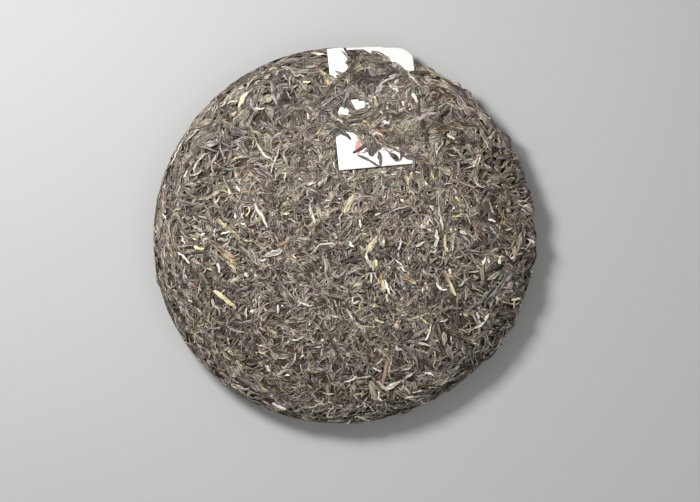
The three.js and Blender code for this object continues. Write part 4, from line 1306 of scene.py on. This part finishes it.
def cover_points(around, shares):
    """Rings of the cover's core from its middle out, first those of the top, then those of the
    underside, and the two middle points."""
    middle = np.array(COVER_MIDDLE)
    rim = curve_through(np.array(COVER_EDGE, float), around)
    flat = middle + shares[:, None, None] * (rim - middle)
    across, along = flat[..., 0], flat[..., 1]
    swell = COVER_SWELL * np.clip((1 - shares) / SWELL_FADE, 0, 1)
    bare = in_windows(across, along) | (across < SINK_MARGIN) | (across > TICKET_WIDTH - SINK_MARGIN)
    under = TICKET_LIFT + COVER_GAP - COVER_SINK * bare * (swell[:, None] + 1)
    over = under + COVER_THICKNESS + swell[:, None]
    on, out, _, _ = body_frame(*from_ticket(across, along))
    rings = [(on + lift[..., None] * out).reshape(-1, 3) for lift in (over, under)]
    on, out, _, _ = body_frame(*from_ticket(middle[:1], middle[1:]))
    low = TICKET_LIFT + COVER_GAP
    return np.vstack([*rings, on + (low + COVER_THICKNESS + swell[0]) * out, on + low * out])


def cover_core(material):
    """The dark mass of the leaves that cross the ticket, whose darkness is partly painted shade in the gaps:
    rings between the middle of the cover and its edge, a closed curve through the edge's points, with a
    top and an underside."""
    around = 96
    shares = np.linspace(0.08, 0.88, 16)
    layer = len(shares) * around
    top = grid_quads(len(shares), around, closed=True)[:, QUAD_OVER]
    below = top[:, ::-1] + layer
    spoke = np.arange(around)
    wall = wall_quads(layer - around + spoke, layer)
    hub = 2 * layer
    caps = np.vstack([fan(hub, spoke), fan(hub + 1, layer + spoke)[:, TRIANGLE_OVER]])
    points = unevenly(cover_points(around, shares))
    return closed_mesh("cover_core", points, [top, below, wall, caps], material)


def ticket_paper():
    """Thin off-white paper, a little stained, with a plain red patch printed near its left side."""
    nodes = Nodes("ticket_paper")
    flat = nodes.add("ShaderNodeUVMap", uv_map="print").outputs["UV"]
    mottle = nodes.noise(flat, scale=0.16, detail=3.0)
    fibres = nodes.noise(flat, scale=1.6, detail=4.0)
    worn = nodes.drift(flat, scale=0.45, detail=3.0, low=-0.45, high=0.45)
    stops = [(0.0, srgb(240, 239, 236)), (1.0, srgb(230, 226, 217))]
    paper = nodes.ramp(nodes.spread_to(mottle, 0, 1, 0.35, 0.7), stops)
    centred = nodes.vector("SUBTRACT", flat, (*PRINT_MIDDLE, 0))[0]
    distance = nodes.vector("LENGTH", nodes.vector("DIVIDE", centred, (*PRINT_HALF, 1))[0])["Value"]
    edge = nodes.spread_to(nodes.sum(distance, worn), 0, 1, 1.0, 0.8)
    printed = nodes.times(edge, nodes.spread_to(fibres, 0.35, 0.95, 0.35, 0.6))
    inks = {"Factor": printed, "A": paper, "B": srgb(204, 78, 88)}
    colour = nodes.add("ShaderNodeMix", inks, data_type="RGBA")
    shown = colour.outputs["Result"]
    return nodes.rough_surface(shown, 0.82, fibres, specular=0.25, strength=0.25, distance=0.0003)


def paper_lift(across, along):
    """Height of the paper above the body: slow waves, two small creases along slanting lines, each a
    bell of its distance, and a far right corner that bends back by the square of its way past a line."""
    wave = (0.3 * np.sin(0.17 * across + 0.6) * np.cos(0.11 * along)
            + 0.16 * np.sin(0.5 * across - 0.3 * along))
    near_crease = 0.3 * np.exp(-((across * 0.8 + along - 30) / 1.6) ** 2)
    far_crease = 0.3 * np.exp(-((along - across * 0.3 - 98) / 1.8) ** 2)
    past = np.maximum(across + along - (TICKET_WIDTH + TICKET_LENGTH - DOG_EAR), 0)
    return TICKET_LIFT + wave + near_crease + far_crease - DOG_EAR_BEND * past ** 2


def ticket():
    """Sheet of two layers joined at the edges, along the paper's section."""
    columns, rows = 60, 92
    across, along = np.meshgrid(np.linspace(0, TICKET_WIDTH, columns + 1),
                                np.linspace(0, TICKET_LENGTH, rows + 1))
    lift = paper_lift(across, along)
    arc, azimuth = from_ticket(across, along)
    sides = []
    for side_lift in (lift, lift - TICKET_THICKNESS):
        radius, height = paper_section(arc, side_lift)
        sides.append(np.stack([radius * np.cos(azimuth), radius * np.sin(azimuth), height], axis=-1))
    points = np.concatenate(sides).reshape(-1, 3)
    wide = columns + 1
    top = grid_quads(rows + 1, wide)
    layer = wide * (rows + 1)
    under = top[:, ::-1] + layer
    edge = np.concatenate([np.arange(columns), np.arange(rows) * wide + columns,
                           rows * wide + np.arange(columns, 0, -1), np.arange(rows, 0, -1) * wide])
    faces = [np.vstack([top, under, wall_quads(edge, layer)])]
    flat = np.tile(np.stack([across.ravel(), along.ravel()], axis=-1), (2, 1))
    print_map = {"print": flat[faces[0].ravel()]}
    return closed_mesh("ticket_sheet", unevenly(points), faces, ticket_paper(), print_map)


def leaf_pieces():
    """One piece for each kind of leaf, spread over the face, the side, the back and the ticket's cover."""
    made = []
    for name, kind in KINDS.items():
        *span_counts, cover_count = kind["counts"]
        groups = []
        for count, span in zip(span_counts, (FACE_SPAN, SIDE_SPAN, BACK_SPAN)):
            groups.append(draw_leaves(kind, *spread(count, *span, kind["thinning"])))
        groups.append(draw_leaves(kind, *cover_places(cover_count)))
        groups.append(loose_leaves(kind))
        if name in LANDMARKS:
            groups.append(place_leaves(kind, LANDMARKS[name]))
        surface = PALE_SURFACE if name in PALE_KINDS else DARK_SURFACE
        finish = leaf_finish(name.replace("_", " "), SHADES[name], *surface)
        made.append(leaf_strips(name, joined(*groups), finish, kind["steps"], kind["sides"]))
    return made


def camera():
    """Looks down on the face, with the cake where it is in the photograph's frame."""
    sensor = 36.0
    data = bpy.data.cameras.new("camera")
    data.sensor_width = sensor
    data.lens = sensor * CAMERA_DISTANCE / (PHOTO_WIDTH * PIXEL)
    view = bpy.data.objects.new("camera", data)
    bpy.context.collection.objects.link(view)
    right = (PHOTO_MIDDLE[0] - CAKE_MIDDLE[0]) * PIXEL
    down = (PHOTO_MIDDLE[1] - CAKE_MIDDLE[1]) * PIXEL
    back = Vector((0, -math.cos(CAMERA_ELEVATION), math.sin(CAMERA_ELEVATION)))
    turn = back.to_track_quat("Z", "Y")
    target = Vector((0, 0, FRAME_HEIGHT)) + turn @ Vector((right, -down, 0))
    view.location = (target + back * CAMERA_DISTANCE) * MM
    view.rotation_mode = "QUATERNION"
    view.rotation_quaternion = turn
    bpy.context.scene.camera = view


def area_light(name, place, size, power, colour):
    """A square soft light that faces the middle of the cake."""
    data = bpy.data.lights.new(name, "AREA")
    data.energy = power
    data.size = size
    data.color = colour
    light = bpy.data.objects.new(name, data)
    light.location = place
    light.rotation_euler = (Vector((0, 0, 0.03)) - Vector(place)).to_track_quat("-Z", "Y").to_euler()
    bpy.context.collection.objects.link(light)


def studio():
    """A plain pale floor, a soft key light from the far left, a weak fill and an even pale sky. Places
    and sizes are in metres here."""
    half = 2.0
    mesh = bpy.data.meshes.new("floor")
    corners = [(-half, -half, 0), (half, -half, 0), (half, half, 0), (-half, half, 0)]
    mesh.from_pydata(corners, [], [(0, 1, 2, 3)])
    nodes = Nodes("pale floor")
    shader = nodes.add("ShaderNodeBsdfPrincipled", {"Base Color": srgb(172, 172, 171), "Roughness": 0.8})
    mesh.materials.append(nodes.finish(shader))
    floor = bpy.data.objects.new("floor", mesh)
    bpy.context.collection.objects.link(floor)
    area_light("key", place=(-0.56, 0.5, 0.98), size=0.34, power=18.4, colour=(1.0, 1.0, 0.995))
    area_light("fill", place=(0.5, -0.6, 1.1), size=0.9, power=3.0, colour=(1.0, 1.0, 1.0))
    world = bpy.data.worlds.new("sky")
    world.use_nodes = True
    background = world.node_tree.nodes["Background"]
    background.inputs["Color"].default_value = (1.0, 1.0, 1.0, 1.0)
    background.inputs["Strength"].default_value = 0.35
    bpy.context.scene.world = world
    bpy.context.scene.view_settings.view_transform = "Standard"


camera()
studio()
# The mass's dark colour is partly painted shade in the gaps between the leaves
mass = dark_mass_and_gap_shade()
for piece in [pressed_core(mass), cover_core(mass), *leaf_pieces()]:
    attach(piece, "root")
    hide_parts("tea_cake")
sheet = ticket()
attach(sheet, "root")
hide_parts("paper_ticket")
